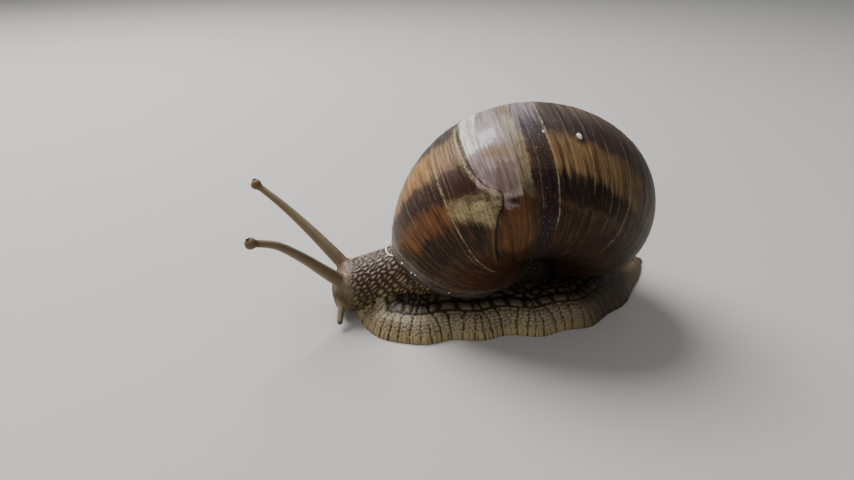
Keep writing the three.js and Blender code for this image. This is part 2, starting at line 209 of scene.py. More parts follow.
class Tree:
    """Short ways to add nodes to a shader tree or a Geometry Nodes tree."""

    def __init__(self, tree, geometry=False):
        self.nodes = tree.nodes
        self.links = tree.links
        self.geometry = geometry

    def node(self, kind, inputs=None, **settings):
        made = self.nodes.new(kind)
        for name, value in settings.items():
            setattr(made, name, value)
        for key, value in (inputs or {}).items():
            if isinstance(value, Field):
                self.links.new(value.socket, made.inputs[key])
            else:
                made.inputs[key].default_value = value
        return made

    def field(self, kind, inputs=None, out=0, **settings):
        return Field(self, self.node(kind, inputs, **settings).outputs[out])

    def math(self, operation, *values):
        return self.field("ShaderNodeMath", dict(enumerate(values)), operation=operation)

    def vector(self, x=0.0, y=0.0, z=0.0):
        return self.field("ShaderNodeCombineXYZ", {0: x, 1: y, 2: z})

    def attribute(self, name):
        if self.geometry:
            return self.field("GeometryNodeInputNamedAttribute", {"Name": name}, data_type="FLOAT")
        return self.field("ShaderNodeAttribute", out="Fac", attribute_name=name)

    def attributes(self, *names):
        return [self.attribute(name) for name in names]

    def scaled(self, vector, share):
        return self.field("ShaderNodeVectorMath", {0: vector, 3: share}, operation="SCALE")

    def bump(self, height, distance):
        """A bumped normal. The distance is in millimetres."""
        return self.field("ShaderNodeBump", {
            "Height": height, "Strength": 1.0, "Distance": distance * MM})

    def place(self):
        """The place on the piece, in metres, for a material."""
        return self.field("ShaderNodeTexCoord", out="Object")

    def noise(self, where, scale, detail, roughness=0.5):
        return self.field("ShaderNodeTexNoise", {
            "Vector": where, "Scale": scale, "Detail": detail, "Roughness": roughness})

    def pattern(self, x, y, z=0.0, detail=3.0, roughness=0.6):
        """Noise over two or three numbers, such as growth and around."""
        return self.noise(self.vector(x, y, z), 1.0, detail, roughness)

    def cells(self, where, randomness, dimensions="2D"):
        """0 on the borders of irregular cells, and more toward their middles."""
        key = "W" if dimensions == "1D" else "Vector"
        return self.field("ShaderNodeTexVoronoi", {
            key: where, "Scale": 1.0, "Randomness": randomness},
            feature="DISTANCE_TO_EDGE", voronoi_dimensions=dimensions)

    def tint(self, where, randomness):
        """A number from 0 to 1 that is the same all over one cell."""
        return self.field("ShaderNodeTexVoronoi", {
            "Vector": where, "Scale": 1.0, "Randomness": randomness}, out="Color",
            feature="F1", voronoi_dimensions="2D").part(0)

    def facet(self, x, y, corners, soft):
        """1 inside a convex outline, given by its corners, and 0 outside."""
        middle = [sum(c[i] for c in corners) / len(corners) for i in (0, 1)]
        inside = None
        for (x0, y0), (x1, y1) in zip(corners, corners[1:] + corners[:1]):
            nx, ny = y0 - y1, x1 - x0
            far = math.hypot(nx, ny)
            nx, ny = nx / far, ny / far
            level = nx * x0 + ny * y0
            if nx * middle[0] + ny * middle[1] < level:
                nx, ny, level = -nx, -ny, -level
            edge = (x * nx + y * ny).smooth(level - soft, level + soft)
            inside = edge if inside is None else inside * edge
        return inside

    def mix(self, share, first, second):
        """A mix of two colours, each a field, four numbers or a colour code."""
        first, second = [srgb(c) if isinstance(c, str) else c for c in (first, second)]
        return self.field("ShaderNodeMix", {0: share, 6: first, 7: second}, out=2,
                          data_type="RGBA")

    def curve(self, value, points):
        """A smooth curve through points, each a value and what it becomes."""
        xs, ys = zip(*points)
        x0, x1, y0, y1 = min(xs), max(xs), min(ys), max(ys)
        made = self.node("ShaderNodeFloatCurve", {"Value": (value - x0) / (x1 - x0)})
        knots = made.mapping.curves[0].points
        shares = sorted(((x - x0) / (x1 - x0), (y - y0) / (y1 - y0)) for x, y in points)
        for share in shares[1:-1]:
            knots.new(*share)
        for knot, share in zip(knots, shares):
            knot.location = share
        made.mapping.update()
        return Field(self, made.outputs[0]) * (y1 - y0) + y0


def geometry_tree(name, sizes):
    """A Geometry Nodes tree with a mesh input and one named input for each size."""
    group = bpy.data.node_groups.new(name, "GeometryNodeTree")
    sockets = [("Geometry", "INPUT", "Geometry"), ("Geometry", "OUTPUT", "Geometry"),
               ("Material", "INPUT", "Material")]
    sockets += [(key, "INPUT", "Float" if isinstance(value, float) else "Vector")
                for key, value in sizes.items()]
    for key, way, kind in sockets:
        group.interface.new_socket(key, in_out=way, socket_type="NodeSocket" + kind)
    tree = Tree(group, geometry=True)
    start = tree.node("NodeGroupInput")
    given = {key: Field(tree, start.outputs[key]) for key in ["Geometry", "Material", *sizes]}
    return group, tree, given


def end_geometry_tree(tree, geometry, height, material):
    """Raises each point by its height, and ends a tree with geometry that has its material."""
    offset = tree.scaled(tree.field("GeometryNodeInputNormal"), height)
    raised = tree.field("GeometryNodeSetPosition", {"Geometry": geometry, "Offset": offset})
    real = tree.field("GeometryNodeRealizeInstances", {"Geometry": raised})
    painted = tree.field("GeometryNodeSetMaterial", {"Geometry": real, "Material": material})
    tree.node("NodeGroupOutput", {"Geometry": painted})


def store(tree, geometry, **fields):
    """The geometry with each field stored as an attribute of its points."""
    for name, value in fields.items():
        geometry = tree.field("GeometryNodeStoreNamedAttribute", {
            "Geometry": geometry, "Name": name, "Value": value}, data_type="FLOAT", domain="POINT")
    return geometry


def add_object(name, data):
    made = bpy.data.objects.new(name, data)
    bpy.context.scene.collection.objects.link(made)
    return made


def run_tree(mesh, group, material, sizes):
    """The mesh after a Geometry Nodes tree, as a plain mesh."""
    holder = add_object("holder", mesh)
    modifier = holder.modifiers.new("Nodes", "NODES")
    modifier.node_group = group
    keys = {item.name: item.identifier for item in group.interface.items_tree
            if item.in_out == "INPUT"}
    for key, value in {"Material": material, **sizes}.items():
        modifier[keys[key]] = value
    return take_mesh(holder)


def take_mesh(holder):
    """The evaluated mesh of an object, which is then removed."""
    graph = bpy.context.evaluated_depsgraph_get()
    graph.update()
    result = bpy.data.meshes.new_from_object(holder.evaluated_get(graph))
    old = holder.data
    bpy.data.objects.remove(holder)
    bpy.data.meshes.remove(old)
    return result


def make_mesh(name, points, faces):
    mesh = bpy.data.meshes.new(name)
    mesh.from_pydata(points, [], faces)
    mesh.update()
    return mesh


def clean(mesh, distance):
    """Merges doubles and turns the faces outward."""
    shape = bmesh.new()
    shape.from_mesh(mesh)
    bmesh.ops.remove_doubles(shape, verts=shape.verts, dist=distance)
    bmesh.ops.dissolve_degenerate(shape, edges=shape.edges, dist=distance)
    bmesh.ops.recalc_face_normals(shape, faces=shape.faces)
    shape.to_mesh(mesh)
    shape.free()


def finish_piece(name, mesh, nodes):
    """Turns a mesh into a piece of the snail, in metres."""
    mesh.transform(Matrix.Scale(MM, 4))
    mesh.shade_smooth()
    piece = add_object(name, mesh)
    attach(piece, "root")
    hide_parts(*nodes)


def socket_name(key):
    return key.replace("_", " ").title().replace("Ior", "IOR")


def start_material(name, **constants):
    """A material with a Principled shader whose plain values are set on its own sockets."""
    material = bpy.data.materials.new(name)
    material.use_nodes = True
    tree = Tree(material.node_tree)
    shader = tree.nodes["Principled BSDF"]
    for key, value in constants.items():
        shader.inputs[socket_name(key)].default_value = value
    return material, tree, shader


def end_material(tree, shader, **inputs):
    """Connects fields to the shader's sockets that they are named after."""
    for key, value in inputs.items():
        tree.links.new(value.socket, shader.inputs[socket_name(key)])


# ---- pattern of the shell ----

# Growth stages: growth, degrees of growth per degree around, half width, strength, and the
# range of around.
STAGES = [
    (-139.5, -0.03, 0.4, 0.6, -70, 30),
    (-133.0, -0.03, 0.2, 0.4, -50, 20),
    (-128.0, -0.02, 0.25, 0.6, -64, 10),
    (-118.5, -0.04, 0.25, 0.75, -34, 45),
    (-113.5, -0.04, 0.18, 0.45, -34, 5),
    (-106.5, -0.04, 0.18, 0.4, -34, 25),
    (-101.3, -0.025, 0.32, 1.0, -66, 50),
    (-94.0, -0.03, 0.15, 0.5, -60, 30),
    (-88.2, -0.09, 0.36, 0.9, -30, 60),
    (-85.3, -0.08, 0.22, 0.7, -48, 60),
    (-80.5, -0.05, 0.15, 0.5, -10, 40),
    (-58.0, -0.08, 0.2, 0.5, -30, 5),
    (-50.6, -0.06, 0.55, 0.95, -120, 0),
    (-53.6, -0.06, 0.2, 0.6, -60, 0),
    (-46.8, -0.05, 0.2, 0.4, -110, 0),
    (-29.5, -0.05, 0.25, 0.55, -70, 10),
    (-36.0, -0.05, 0.18, 0.3, -100, -50),
    (-161.0, -0.03, 0.4, 0.5, -90, 60),
    (-187.0, -0.03, 0.5, 0.8, -90, 70),
    (-214.0, -0.03, 0.3, 0.5, -90, 70),
    (-236.0, -0.03, 0.5, 0.9, -90, 70),
    (-271.0, -0.03, 0.3, 0.6, -90, 70),
    (-298.0, -0.03, 0.5, 0.8, -90, 70),
    (-331.0, -0.03, 0.3, 0.6, -90, 70),
    (-3.6, 0.0, 0.2, 0.5, -130, 60),
    (-5.8, 0.01, 0.16, 0.5, -130, 60),
    (-8.6, -0.01, 0.2, 0.6, -130, 60),
    (-12.5, -0.02, 0.16, 0.5, -130, 60),
    (-20.5, -0.04, 0.16, 0.45, -110, -20),
    (-41.5, -0.04, 0.16, 0.45, -40, 10),
    (-61.5, -0.06, 0.16, 0.5, -28, 5),
    (-122.5, -0.04, 0.14, 0.45, -34, 10),
    (-109.8, -0.04, 0.14, 0.5, -34, 30),
    (-146.0, -0.03, 0.25, 0.45, -60, 40),
    (-90.4, -0.08, 0.16, 0.6, -12, 50),
    (-86.9, -0.08, 0.14, 0.6, -20, 50),
    (-82.7, -0.07, 0.2, 0.6, 0, 50),
    (-79.4, -0.07, 0.14, 0.5, 4, 50),
    (-76.9, -0.06, 0.16, 0.55, 8, 50),
    (-63.0, -0.06, 0.22, 0.7, -30, 10),
    (-60.0, -0.06, 0.14, 0.5, -30, 8),
    (-55.6, -0.06, 0.16, 0.5, -45, 0),
    (-44.2, -0.05, 0.14, 0.4, -60, -2),
    (-38.6, -0.05, 0.12, 0.4, -60, -10),
    (-24.8, -0.04, 0.16, 0.5, -110, -20),
    (-16.8, -0.03, 0.14, 0.5, -120, -30),
    (-10.2, -0.01, 0.14, 0.5, -130, 60),
    (-7.1, 0.0, 0.12, 0.5, -130, 60),
]
# Flakes of repaired shell: corners as growth and around, dark and light colour, share, softness.
FLAKES = [
    ([(-91, 60), (-84.5, 60), (-84.4, -46), (-89.5, -50)], "3b2f20", "97866c", 0.9, 0.2),
    ([(-91, -40), (-84.5, -40), (-80, -88), (-90, -88)], "24160b", "543a1c", 0.7, 0.9),
    ([(-84.6, 40), (-66, 34), (-66, -44), (-76, -52), (-84.6, -48)], "594844", "a8938c", 0.95, 0.16),
    ([(-84.4, -1), (-74, -3), (-73.5, 34), (-84.4, 34)], "54454a", "a39493", 0.9, 0.16),
    ([(-83.2, -14.5), (-73.4, -16.5), (-72.6, -23), (-83.4, -25)], "5a4532", "95785a", 0.9, 0.35),
    # painted highlight: this flake's pale bluish white stands for a reflection on the shell
    ([(-81.4, 0), (-74.2, -4), (-73.2, -16), (-77.2, -14.5), (-81.4, -8)],
     "8b848c", "cdc6cb", 0.85, 0.3),
    ([(-82.5, -25), (-70.5, -24), (-68.4, -36), (-73.6, -44), (-76, -30)],
     "5f4f50", "857475", 0.9, 0.16),
    ([(-84.2, -27.5), (-78, -26), (-74.2, -38), (-74, -46), (-77, -48), (-83.8, -44)],
     "49382f", "836f62", 0.92, 0.16),
    ([(-73.8, 37), (-67.5, 35), (-65.8, 2), (-66.8, -22), (-72.4, -17), (-74.4, 18)],
     "75665b", "ece2d4", 0.95, 0.2),
    ([(-84.5, -50), (-75, -56), (-64, -90), (-80, -97), (-88, -82)], "2a1608", "6d4422", 0.8, 1.0),
    ([(-71.5, -47), (-50.5, -49), (-47.5, -60), (-53, -64), (-69, -70)],
     "463719", "b3a278", 0.9, 1.1),
    ([(-64, -31), (-50.5, -33), (-50.5, -47), (-66, -46)], "150a0c", "4a2c20", 0.8, 0.6),
    ([(-82.5, -56), (-75, -51.5), (-74.8, -58)], "6a5a58", "877776", 0.8, 0.16),
    ([(-76.2, -49), (-72, -47.4), (-70.4, -52.5), (-73.4, -56.5)], "3b3326", "b7ab92", 0.8, 0.4),
]
GROWTH_MM = 0.385  # mm for each degree of growth, where the flakes are
AROUND_MM = 0.22
# The healed crack: around, and the growth where it runs.
CRACK = [(10, -66.4), (-5, -65.8), (-20, -65.5), (-34, -66.6), (-43, -69.6), (-49, -75.2),
         (-54, -74.6), (-62, -71.2), (-75, -67.0), (-90, -63.2), (-108, -58.5)]
CRACK_RANGE = (-108, 10)
# Grains stuck to the shell: growth, around, radius.
GRIT = [(-115.5, -1.5, 0.42), (-100.5, -4.0, 0.2), (-4.1, -58.5, 0.17), (-4.0, -69.0, 0.13),
        (-4.4, -72.5, 0.1), (-4.2, -100.0, 0.12)]
# The dried slime thread at the lip: growth, around and how far it stands off.
THREAD = [(-0.4, -28.0, 0.1), (0.3, -25.5, 1.1), (0.2, -19.5, 0.95), (0.0, -20.5, 0.4),
          (0.0, -26.0, 0.5), (0.2, -33.0, 0.95), (0.2, -39.0, 0.75), (-0.2, -44.0, 0.1)]
THREAD_RADIUS = 0.15
THREAD_RINGS = 60
THREAD_SIDES = 10


def shell_fields(tree):
    """Growth, around, and the pattern that shell relief and shell colour share."""
    growth, around = tree.attributes("growth", "around")
    wander = tree.pattern(growth * 0.05, around * 0.06, roughness=0.5) - 0.5
    stage = growth + wander * 1.6
    lines = None
    for at, lean, width, strength, low, high in STAGES:
        line = (stage - around * lean).bell(at - lean * -20, width)
        line = line * strength * around.window(low, high, 8)
        lines = line if lines is None else lines.larger(line)
    ragged = tree.pattern(growth * 0.3, around * 0.35, detail=4.0, roughness=0.65) - 0.5
    splinter = tree.pattern(growth * 0.9, around * 1.1, 8.0) - 0.5
    beyond = growth - tree.curve(around, CRACK) + ragged * 2.2 + splinter
    in_range = around.window(*CRACK_RANGE, 4)
    rift = (around + ragged * 14.0 + splinter * 8.0).bell(-50.5, 1.1)
    return SimpleNamespace(
        growth=growth, around=around, wander=wander, lines=lines, ragged=ragged,
        splinter=splinter, beyond=beyond, in_range=in_range,
        rift=rift * growth.window(-75, -59, 2) * splinter.smooth(-0.2, 0.05),
        crack=beyond.bell(0.0, 0.5) * in_range * splinter.smooth(-0.3, -0.1),
        fine=tree.pattern(growth * 1.15, around * 0.02, detail=4.0),
        broad=tree.pattern(growth * 0.3, around * 0.015, 7.0, detail=2.0, roughness=0.5))


def spiral_tree():
    """Places points given as growth, around and proud on the whorls, and raises their relief."""
    group, tree, given = geometry_tree("Snail Spiral", {
        **SECTION, **dict.fromkeys(("Apex", "Axis", "To Lip", "Across Lip"), (0, 0, 0)),
        "Line Depth": 0.1, "Crack Depth": 0.25})

    def wave(operation, degrees):
        return tree.math(operation, tree.math("RADIANS", degrees))

    start = tree.field("GeometryNodeInputPosition")
    geometry = store(tree, given["Geometry"], growth=start.part(0), around=start.part(1),
                     proud=start.part(2))
    growth, around, proud = tree.attributes("growth", "around", "proud")
    rate = tree.math("LOGARITHM", given["Growth per Turn"], math.e) / math.tau
    sine, cosine = wave("SINE", around), wave("COSINE", around)
    lean = given["Slant"] * sine
    size = given["Half Width"] * tree.math("EXPONENT", rate * tree.math("RADIANS", growth + lean))
    swell = (proud / size + 1.0).larger(0.0)
    turn = tree.math("RADIANS", growth + lean * swell.smaller(1.0))
    size = given["Half Width"] * tree.math("EXPONENT", rate * turn)
    x, y = swell * cosine, swell * given["Tall"] * sine
    cos_tilt, sin_tilt = wave("COSINE", given["Tilt"]), wave("SINE", given["Tilt"])
    out = size * (given["Centre Out"] + cos_tilt * x - sin_tilt * y).larger(0.05)
    up = size * (sin_tilt * x + cos_tilt * y - given["Centre Down"])
    point = given["Apex"]
    for way, far in (("To Lip", out * tree.math("COSINE", turn)),
                     ("Across Lip", out * tree.math("SINE", turn) * -1.0), ("Axis", up)):
        point = tree.field("ShaderNodeVectorMath", {0: point, 1: tree.scaled(given[way], far)},
                           operation="ADD")
    placed = tree.field("GeometryNodeSetPosition", {"Geometry": geometry, "Position": point})

    shell = shell_fields(tree)
    share = tree.math("EXPONENT", rate * tree.math("RADIANS", growth))
    ribs = (shell.fine - 0.5) * 1.1 + (shell.broad - 0.5) * 2.0 + shell.lines
    ridge = shell.beyond.bell(1.3, 0.8) * shell.splinter.smooth(-0.25, 0.15)
    ridge = ridge * 0.8 + shell.beyond.window(0.3, 5.0, 1.5) * 0.45
    wrinkle = tree.pattern(growth * 0.45, around * 0.4, detail=4.0, roughness=0.7) - 0.5
    puckered = (around.window(-64, -45, 3) * growth.window(-76, -50, 2)
                + around.window(-26, 24, 6) * growth.window(-91, -66, 1))
    step_at = (growth + shell.ragged * 3.5).smooth(-91.6, -91.0) * growth.smooth(-66, -80)
    outside = proud.smooth(-0.3, -0.02) * growth.smooth(-1400, -1200)
    height = (ribs * given["Line Depth"] * (share * 0.8 + 0.2)
              + (ridge * shell.in_range - shell.crack * 1.3) * given["Crack Depth"]
              + wrinkle * puckered * 0.45 - shell.rift * 0.2
              - step_at * around.window(-50, 40, 5) * 0.12) * outside
    end_geometry_tree(tree, placed, height, given["Material"])
    return group


def spiral_directions():
    """The shell's axis, the way from it to the lip, and the way across the lip."""
    azimuth, rise = math.radians(AXIS_AZIMUTH), math.radians(AXIS_RISE)
    axis = Vector((math.cos(rise) * math.cos(azimuth), math.cos(rise) * math.sin(azimuth),
                   math.sin(rise)))
    to_lip = Vector((-1, 0, 0))
    to_lip = (to_lip - axis * to_lip.dot(axis)).normalized()
    to_lip.rotate(Matrix.Rotation(math.radians(LIP_TURN), 3, axis))
    return axis, to_lip, axis.cross(to_lip)


def place_on_spiral(mesh, material, line_depth=None):
    """Carries a mesh whose x, y and z are growth, around and proud onto the shell."""
    settings = bpy.context.scene.snail_shell
    axis, to_lip, across = spiral_directions()
    depth = settings.line_depth / MM if line_depth is None else line_depth
    sizes = {**SECTION, "Apex": APEX, "Axis": axis, "To Lip": to_lip, "Across Lip": across,
             "Line Depth": depth, "Crack Depth": settings.crack_depth / MM}
    group = bpy.data.node_groups.get("Snail Spiral") or spiral_tree()
    return run_tree(mesh, group, material, sizes)


def spiral_grid(columns, rows):
    """Points of columns (growth, proud) and rows (around), not yet on the shell, and faces."""
    points = [(growth, around, proud) for growth, proud in columns for around in rows]
    return points, [(a, d, c, b) for a, b, c, d in quads(len(columns), len(rows))]


def quads(rings, count):
    """Faces between closed rings of points."""
    for i in range(0, (rings - 1) * count, count):
        for j in range(count):
            k = (j + 1) % count
            yield i + j, i + k, i + count + k, i + count + j


def joined(name, meshes, mark=None):
    """One mesh from several, with an attribute that is 0 on the first and 1 on the others."""
    points, faces = [], []
    for more, more_faces in meshes:
        first = len(points)
        points += more
        faces += [tuple(first + i for i in face) for face in more_faces]
    mesh = make_mesh(name, points, faces)
    if mark:
        marks = [float(number > 0) for number, (more, _) in enumerate(meshes) for _ in more]
        put_attribute(mesh, mark, marks)
    return mesh


def steps(start, stop, size):
    count = max(1, round(abs(stop - start) / size))
    return [start + (stop - start) * i / count for i in range(count)]


# ---- shell ----

def shell_material():
    """Dark spiral bands on ochre, crossed by growth lines and a healed crack."""
    settings = bpy.context.scene.snail_shell
    material, tree, shader = start_material(
        "Banded shell", specular_ior_level=0.18, coat_weight=0.05, coat_roughness=0.25)
    shell = shell_fields(tree)
    growth, around, lines, ragged = shell.growth, shell.around, shell.lines, shell.ragged
    fine, broad = shell.fine, shell.broad
    thread = tree.pattern(growth * 2.7, around * 0.05, 11.0)
    blotch = tree.pattern(growth * 0.22, around * 0.08, 5.0)
    wavy = (around + (fine - 0.5) * 7.0 + (thread - 0.5) * 3.0 + (broad - 0.5) * 11.0
            + (blotch - 0.5) * 14.0 + shell.wander * 12.0)
    streak = (fine * 0.42 + thread * 0.28 + broad * 0.16 + blotch * 0.14).smooth(0.39, 0.61)

    def streaked(deep, light):
        return tree.mix(streak, deep, light)

    # the ground, lighter in front and darker below and behind: partly its own tone, partly painted
    # light on the lit front and painted shade below and behind
    front = growth.smooth(-66, -48)
    behind = growth.smooth(-124, -158)
    glow = wavy.window(-66, -46, 6) * growth.window(-50, -14, 4)
    # painted shadow: the low front of the body whorl darkened, partly dark blotches and partly painted
    # shadow
    low_front_shadow = wavy.window(-88, -66, 6) * growth.smooth(-64, -58)
    russet = wavy.smooth(-84, -96) * growth.smooth(-94, -84)
    ochre = streaked(settings.ochre_deep, settings.ochre).coats(
        (front * 0.75, streaked("64401c", "b3834a")),
        (wavy.smooth(-38, -54) * 0.93, streaked("0c0402", "301708")),
        (glow * 0.85, streaked("2f180a", "7f522b")), (low_front_shadow * 0.8, streaked("0d0705", "241509")),
        (russet * 0.9, streaked("0d0502", "43210e")), (behind * 0.75, streaked("140c07", "42311f")))

    # the bands, lighter grey toward the top, where a sky sheen is painted
    top = wavy.smooth(-8, 1)
    newer = growth.smooth(-106, -99)
    # painted sheen: pale grey and bluish grey over the top of the newer whorl
    crown_sheen = around.smooth(8, 34) * (newer * 0.45 + 0.55)
    top_sheen = streaked("35291f", "806b5b").coats(
        (newer * around.smooth(62, 44), streaked("54464a", "b8a8a5")))
    dark = streaked(settings.band_dark, settings.band_light).coats(
        (front * 0.6, streaked("0d0505", "3c2419")), (top * 0.85, streaked("160c10", "43332f")),
        (crown_sheen * 0.85, top_sheen))
    bands = (top * (1.0 - wavy.window(38, 66, 7) * 0.6)).larger(wavy.window(-47, -28, 4.5))
    bands = bands.larger(wavy.smooth(-78, -94) * growth.smooth(-84, -94))
    bands = bands * (blotch * 0.7 + 0.65) * (1.0 - behind * 0.3)
    hair = tree.pattern(growth * 5.0, around * 0.06, 13.0, detail=2.0)
    ember = thread.smooth(0.54, 0.66) * wavy.window(-125, -30, 12) * growth.smooth(-78, -60)
    stripe = (growth + ragged * 3.0).window(-100.6, -91.2, 0.5)
    paint = ochre.coats(
        (bands.smaller(1.0), dark), (hair.smooth(0.56, 0.68) * 0.65, "140a05"),
        (hair.smooth(0.42, 0.3) * 0.22, "a5845a"), (ember * 0.45, "7d4a22"),
        (stripe * 0.88, streaked("120809", "2f1c1c")),
        # painted sheen: the stripe turns pale mauve grey toward the top
        (stripe * around.smooth(0, 24) * 0.9, streaked("56464e", "ab9b9e")))

    chips = tree.pattern(growth * 1.1, around * 0.8, 2.0) - 0.5
    x = (growth + ragged * 2.6 + chips * 1.4) * GROWTH_MM
    y = (around + ragged * 9.0 + chips * 6.0 + (fine - 0.5) * 8.0) * AROUND_MM
    for corners, deep, light, share, soft in FLAKES:
        flake = tree.facet(x, y, [(g * GROWTH_MM, a * AROUND_MM) for g, a in corners], soft)
        paint = paint.coats((flake * share, tree.mix(streak * 0.7 + blotch * 0.4, deep, light)))

    # folds, the old rim, the broken edge, growth lines, wear and the crack
    folds = tree.pattern(growth * 0.16, around * 0.22, 4.0, detail=4.0, roughness=0.65) - 0.5
    creased = folds.bell(0.0, 0.016) * wavy.window(-68, -45, 4) * growth.window(-75, -50, 2)
    # the old rim near the lip, with painted shade darkening it toward the underside
    old_rim = streaked("261e18", "8f8478").coats(
        (around.smooth(-66, -98), streaked("15100b", "43372b")))
    edge = shell.beyond.bell(1.5, 1.05) * shell.in_range * shell.splinter.smooth(-0.15, 0.2)
    broken = tree.pattern(growth * 0.5, around * 0.3, 9.0)
    silver = thread.smooth(0.6, 0.75) * blotch.smooth(0.42, 0.6)
    fleck = tree.pattern(growth * 3.2, around * 0.4, 6.0, detail=2.0).smooth(0.64, 0.74)
    proud, grit = tree.attributes("proud", "grit")
    paint = paint.coats(
        (creased * 0.7, "2a1d12"), ((growth + ragged * 4.0).smooth(-15, -5) * 0.75, old_rim),
        (edge * 0.8, tree.mix(around.smooth(-52, -40), "8a6f45", "ccb489")),
        (lines * broken.smooth(0.3, 0.62) * 0.85, settings.growth_line), (silver * 0.4, "9c8a6c"),
        (fleck * (growth.bell(-94.0, 7.0) + 0.25) * 0.7, "b5a6a0"),
        ((shell.crack * 0.9).larger(shell.rift * 0.75), "110b07"),
        (growth.smooth(-420, -800) * 0.6, "6f5a4a"), (proud.smooth(-0.3, -0.8), "8f8272"),
        (grit, "e8e4da"))
    rough = tree.pattern(growth * 0.8, around * 0.08, 3.0, roughness=0.5) * 0.3
    grain = tree.pattern(growth * 3.6, around * 0.12, detail=4.0, roughness=0.65)
    pits = tree.noise(tree.place(), 2400.0, 3.0, 0.6)
    end_material(tree, shader, base_color=paint, roughness=rough + 0.27 + lines * 0.2,
                 normal=tree.bump(grain * 0.8 + pits * 0.3, 0.08))
    return material


def make_shell():
    start = -TURN * TURNS
    outer = [(start, POLE)]
    for first, last, size in ((start, -720, 6), (-720, -360, 2), (-360, RIM_AT - 0.4, 0.52)):
        outer += [(growth, 0.0) for growth in steps(first, last, size)]
    rim = [(RIM_AT - 0.4, 0.0), (RIM_AT - 0.15, -0.03), (RIM_AT, -0.15), (RIM_AT, -0.6),
           (RIM_AT - 0.2, -0.85)]
    inner = [(growth, -WALL) for growth in steps(RIM_AT - 0.6, MOUTH_DEEP, 1.5)]
    back = [(MOUTH_DEEP, -WALL), *((MOUTH_DEEP - 0.4, proud) for proud in (-3.0, -7.0, POLE))]
    rows = (steps(SUTURE, BASE_END, (SUTURE - BASE_END) / ROWS_SEEN)
            + steps(BASE_END, SUTURE - TURN, (BASE_END - SUTURE + TURN) / ROWS_HIDDEN))
    meshes = [spiral_grid(outer + rim + inner + back, rows)]
    for growth, around, radius in GRIT:
        points, faces = ball(radius, 12, 8)
        meshes.append(([(growth + p.x / GROWTH_MM, around + p.y / AROUND_MM, p.z + radius * 0.4)
                        for p in points], faces))
    mesh = place_on_spiral(joined("shell", meshes, "grit"), shell_material())
    clean(mesh, 0.002)
    grow_pillar(mesh)
    finish_piece("shell", mesh, ["shell_body_whorl", "shell_spire", "shell_apex"])


def ball(radius, around, down):
    """Points and faces of a lumpy ball."""
    shape = bmesh.new()
    bmesh.ops.create_uvsphere(shape, u_segments=around, v_segments=down, radius=radius)
    points = [v.co * (1 + 0.12 * math.sin(9 * v.co.x / radius + 5 * v.co.z / radius))
              for v in shape.verts]
    faces = [tuple(v.index for v in f.verts) for f in shape.faces]
    shape.free()
    return points, faces


def grow_pillar(mesh):
    """Adds the pillar round the axis, with the callus that closes the shell's navel."""
    axis, to_lip, across = spiral_directions()
    profile = catmull([(radius, down, 0) for radius, down in COLUMELLA], PILLAR_RINGS)
    shape = bmesh.new()
    shape.from_mesh(mesh)
    layers = [shape.verts.layers.float[name] for name in ("growth", "around", "proud")]
    fresh = []
    for radius, down, _ in profile:
        for j in range(PILLAR_SIDES):
            angle = math.tau * j / PILLAR_SIDES
            ripple = 1 + 0.06 * math.sin(3 * angle + down * 0.5)
            out = to_lip * math.cos(angle) + across * math.sin(angle)
            vert = shape.verts.new(Vector(APEX) - axis * down + out * max(radius, 0) * ripple)
            for layer, value in zip(layers, PILLAR_LOOKS):
                vert[layer] = value
            fresh.append(vert)
    made = [shape.faces.new([fresh[i] for i in quad])
            for quad in quads(PILLAR_RINGS, PILLAR_SIDES)]
    bmesh.ops.remove_doubles(shape, verts=fresh, dist=0.002)
    bmesh.ops.recalc_face_normals(shape, faces=[face for face in made if face.is_valid])
    shape.to_mesh(mesh)
    shape.free()


def lip_material():
    """The new, thin and slightly clear edge of the shell, greyer than the rest."""
    material, tree, shader = start_material(
        "New shell edge", specular_ior_level=0.3, coat_weight=0.15, coat_roughness=0.2,
        subsurface_weight=0.15, subsurface_scale=0.0006)
    growth, around, slime = tree.attributes("growth", "around", "slime")
    lines = tree.pattern(growth * 6.0, around * 0.05)
    blots = tree.pattern(growth * 0.5, around * 0.12, 4.0)
    paint = tree.mix(lines.smooth(0.4, 0.6), "1f180f", "4c4132").coats(
        (blots.smooth(0.48, 0.66) * 0.45, "72695c"), (lines.smooth(0.6, 0.7) * 0.7, "a3988a"),
        # painted shade: the edge darker on the underside
        (around.smooth(-66.0, -98.0) * 0.75, "1d160f"), (slime, "efece4"))
    end_material(tree, shader, base_color=paint, roughness=blots * 0.3 + 0.15,
                 normal=tree.bump(lines, 0.08))
    return material


def make_lip():
    profile = [(RIM_AT, -0.2), (-3.2, -0.06), (-2.8, 0.0), (-2.0, 0.0), (-1.2, 0.0), (-0.6, -0.01),
               (-0.25, -0.06), (-0.05, -0.18), (0.0, -0.33), (-0.08, -0.48), (-0.4, -0.6),
               (-1.5, -0.68), (-2.6, -0.76), (RIM_AT, -0.74)]
    arounds = steps(112, -131, 1.0) + [-131]
    count = len(profile)
    points = []
    for i, around in enumerate(arounds):
        thin = 0.55 + 0.45 * math.sin(math.pi * i / (len(arounds) - 1))
        points += [(growth, around, proud * thin) for growth, proud in profile]
    faces = [*quads(len(arounds), count), tuple(range(count)),
             tuple(range(len(points) - count, len(points)))[::-1]]
    centres, _ = even_curve([(g * GROWTH_MM, a * AROUND_MM, p) for g, a, p in THREAD], THREAD_RINGS)
    along = np.linspace(0, math.pi, THREAD_RINGS)
    radii = THREAD_RADIUS * (0.6 + 0.4 * np.sin(along) + 0.15 * np.sin(along * 9))
    thread, thread_faces = loft(rings_along(centres, radii, THREAD_SIDES))
    thread = [(x / GROWTH_MM, y / AROUND_MM, proud) for x, y, proud in thread]
    mesh = joined("lip", [(points, faces), (thread, thread_faces)], "slime")
    mesh = place_on_spiral(mesh, lip_material(), LIP_LINE_DEPTH)
    clean(mesh, 0.001)
    finish_piece("shell_lip_edge", mesh, ["shell_lip"])


# ---- mantle ----

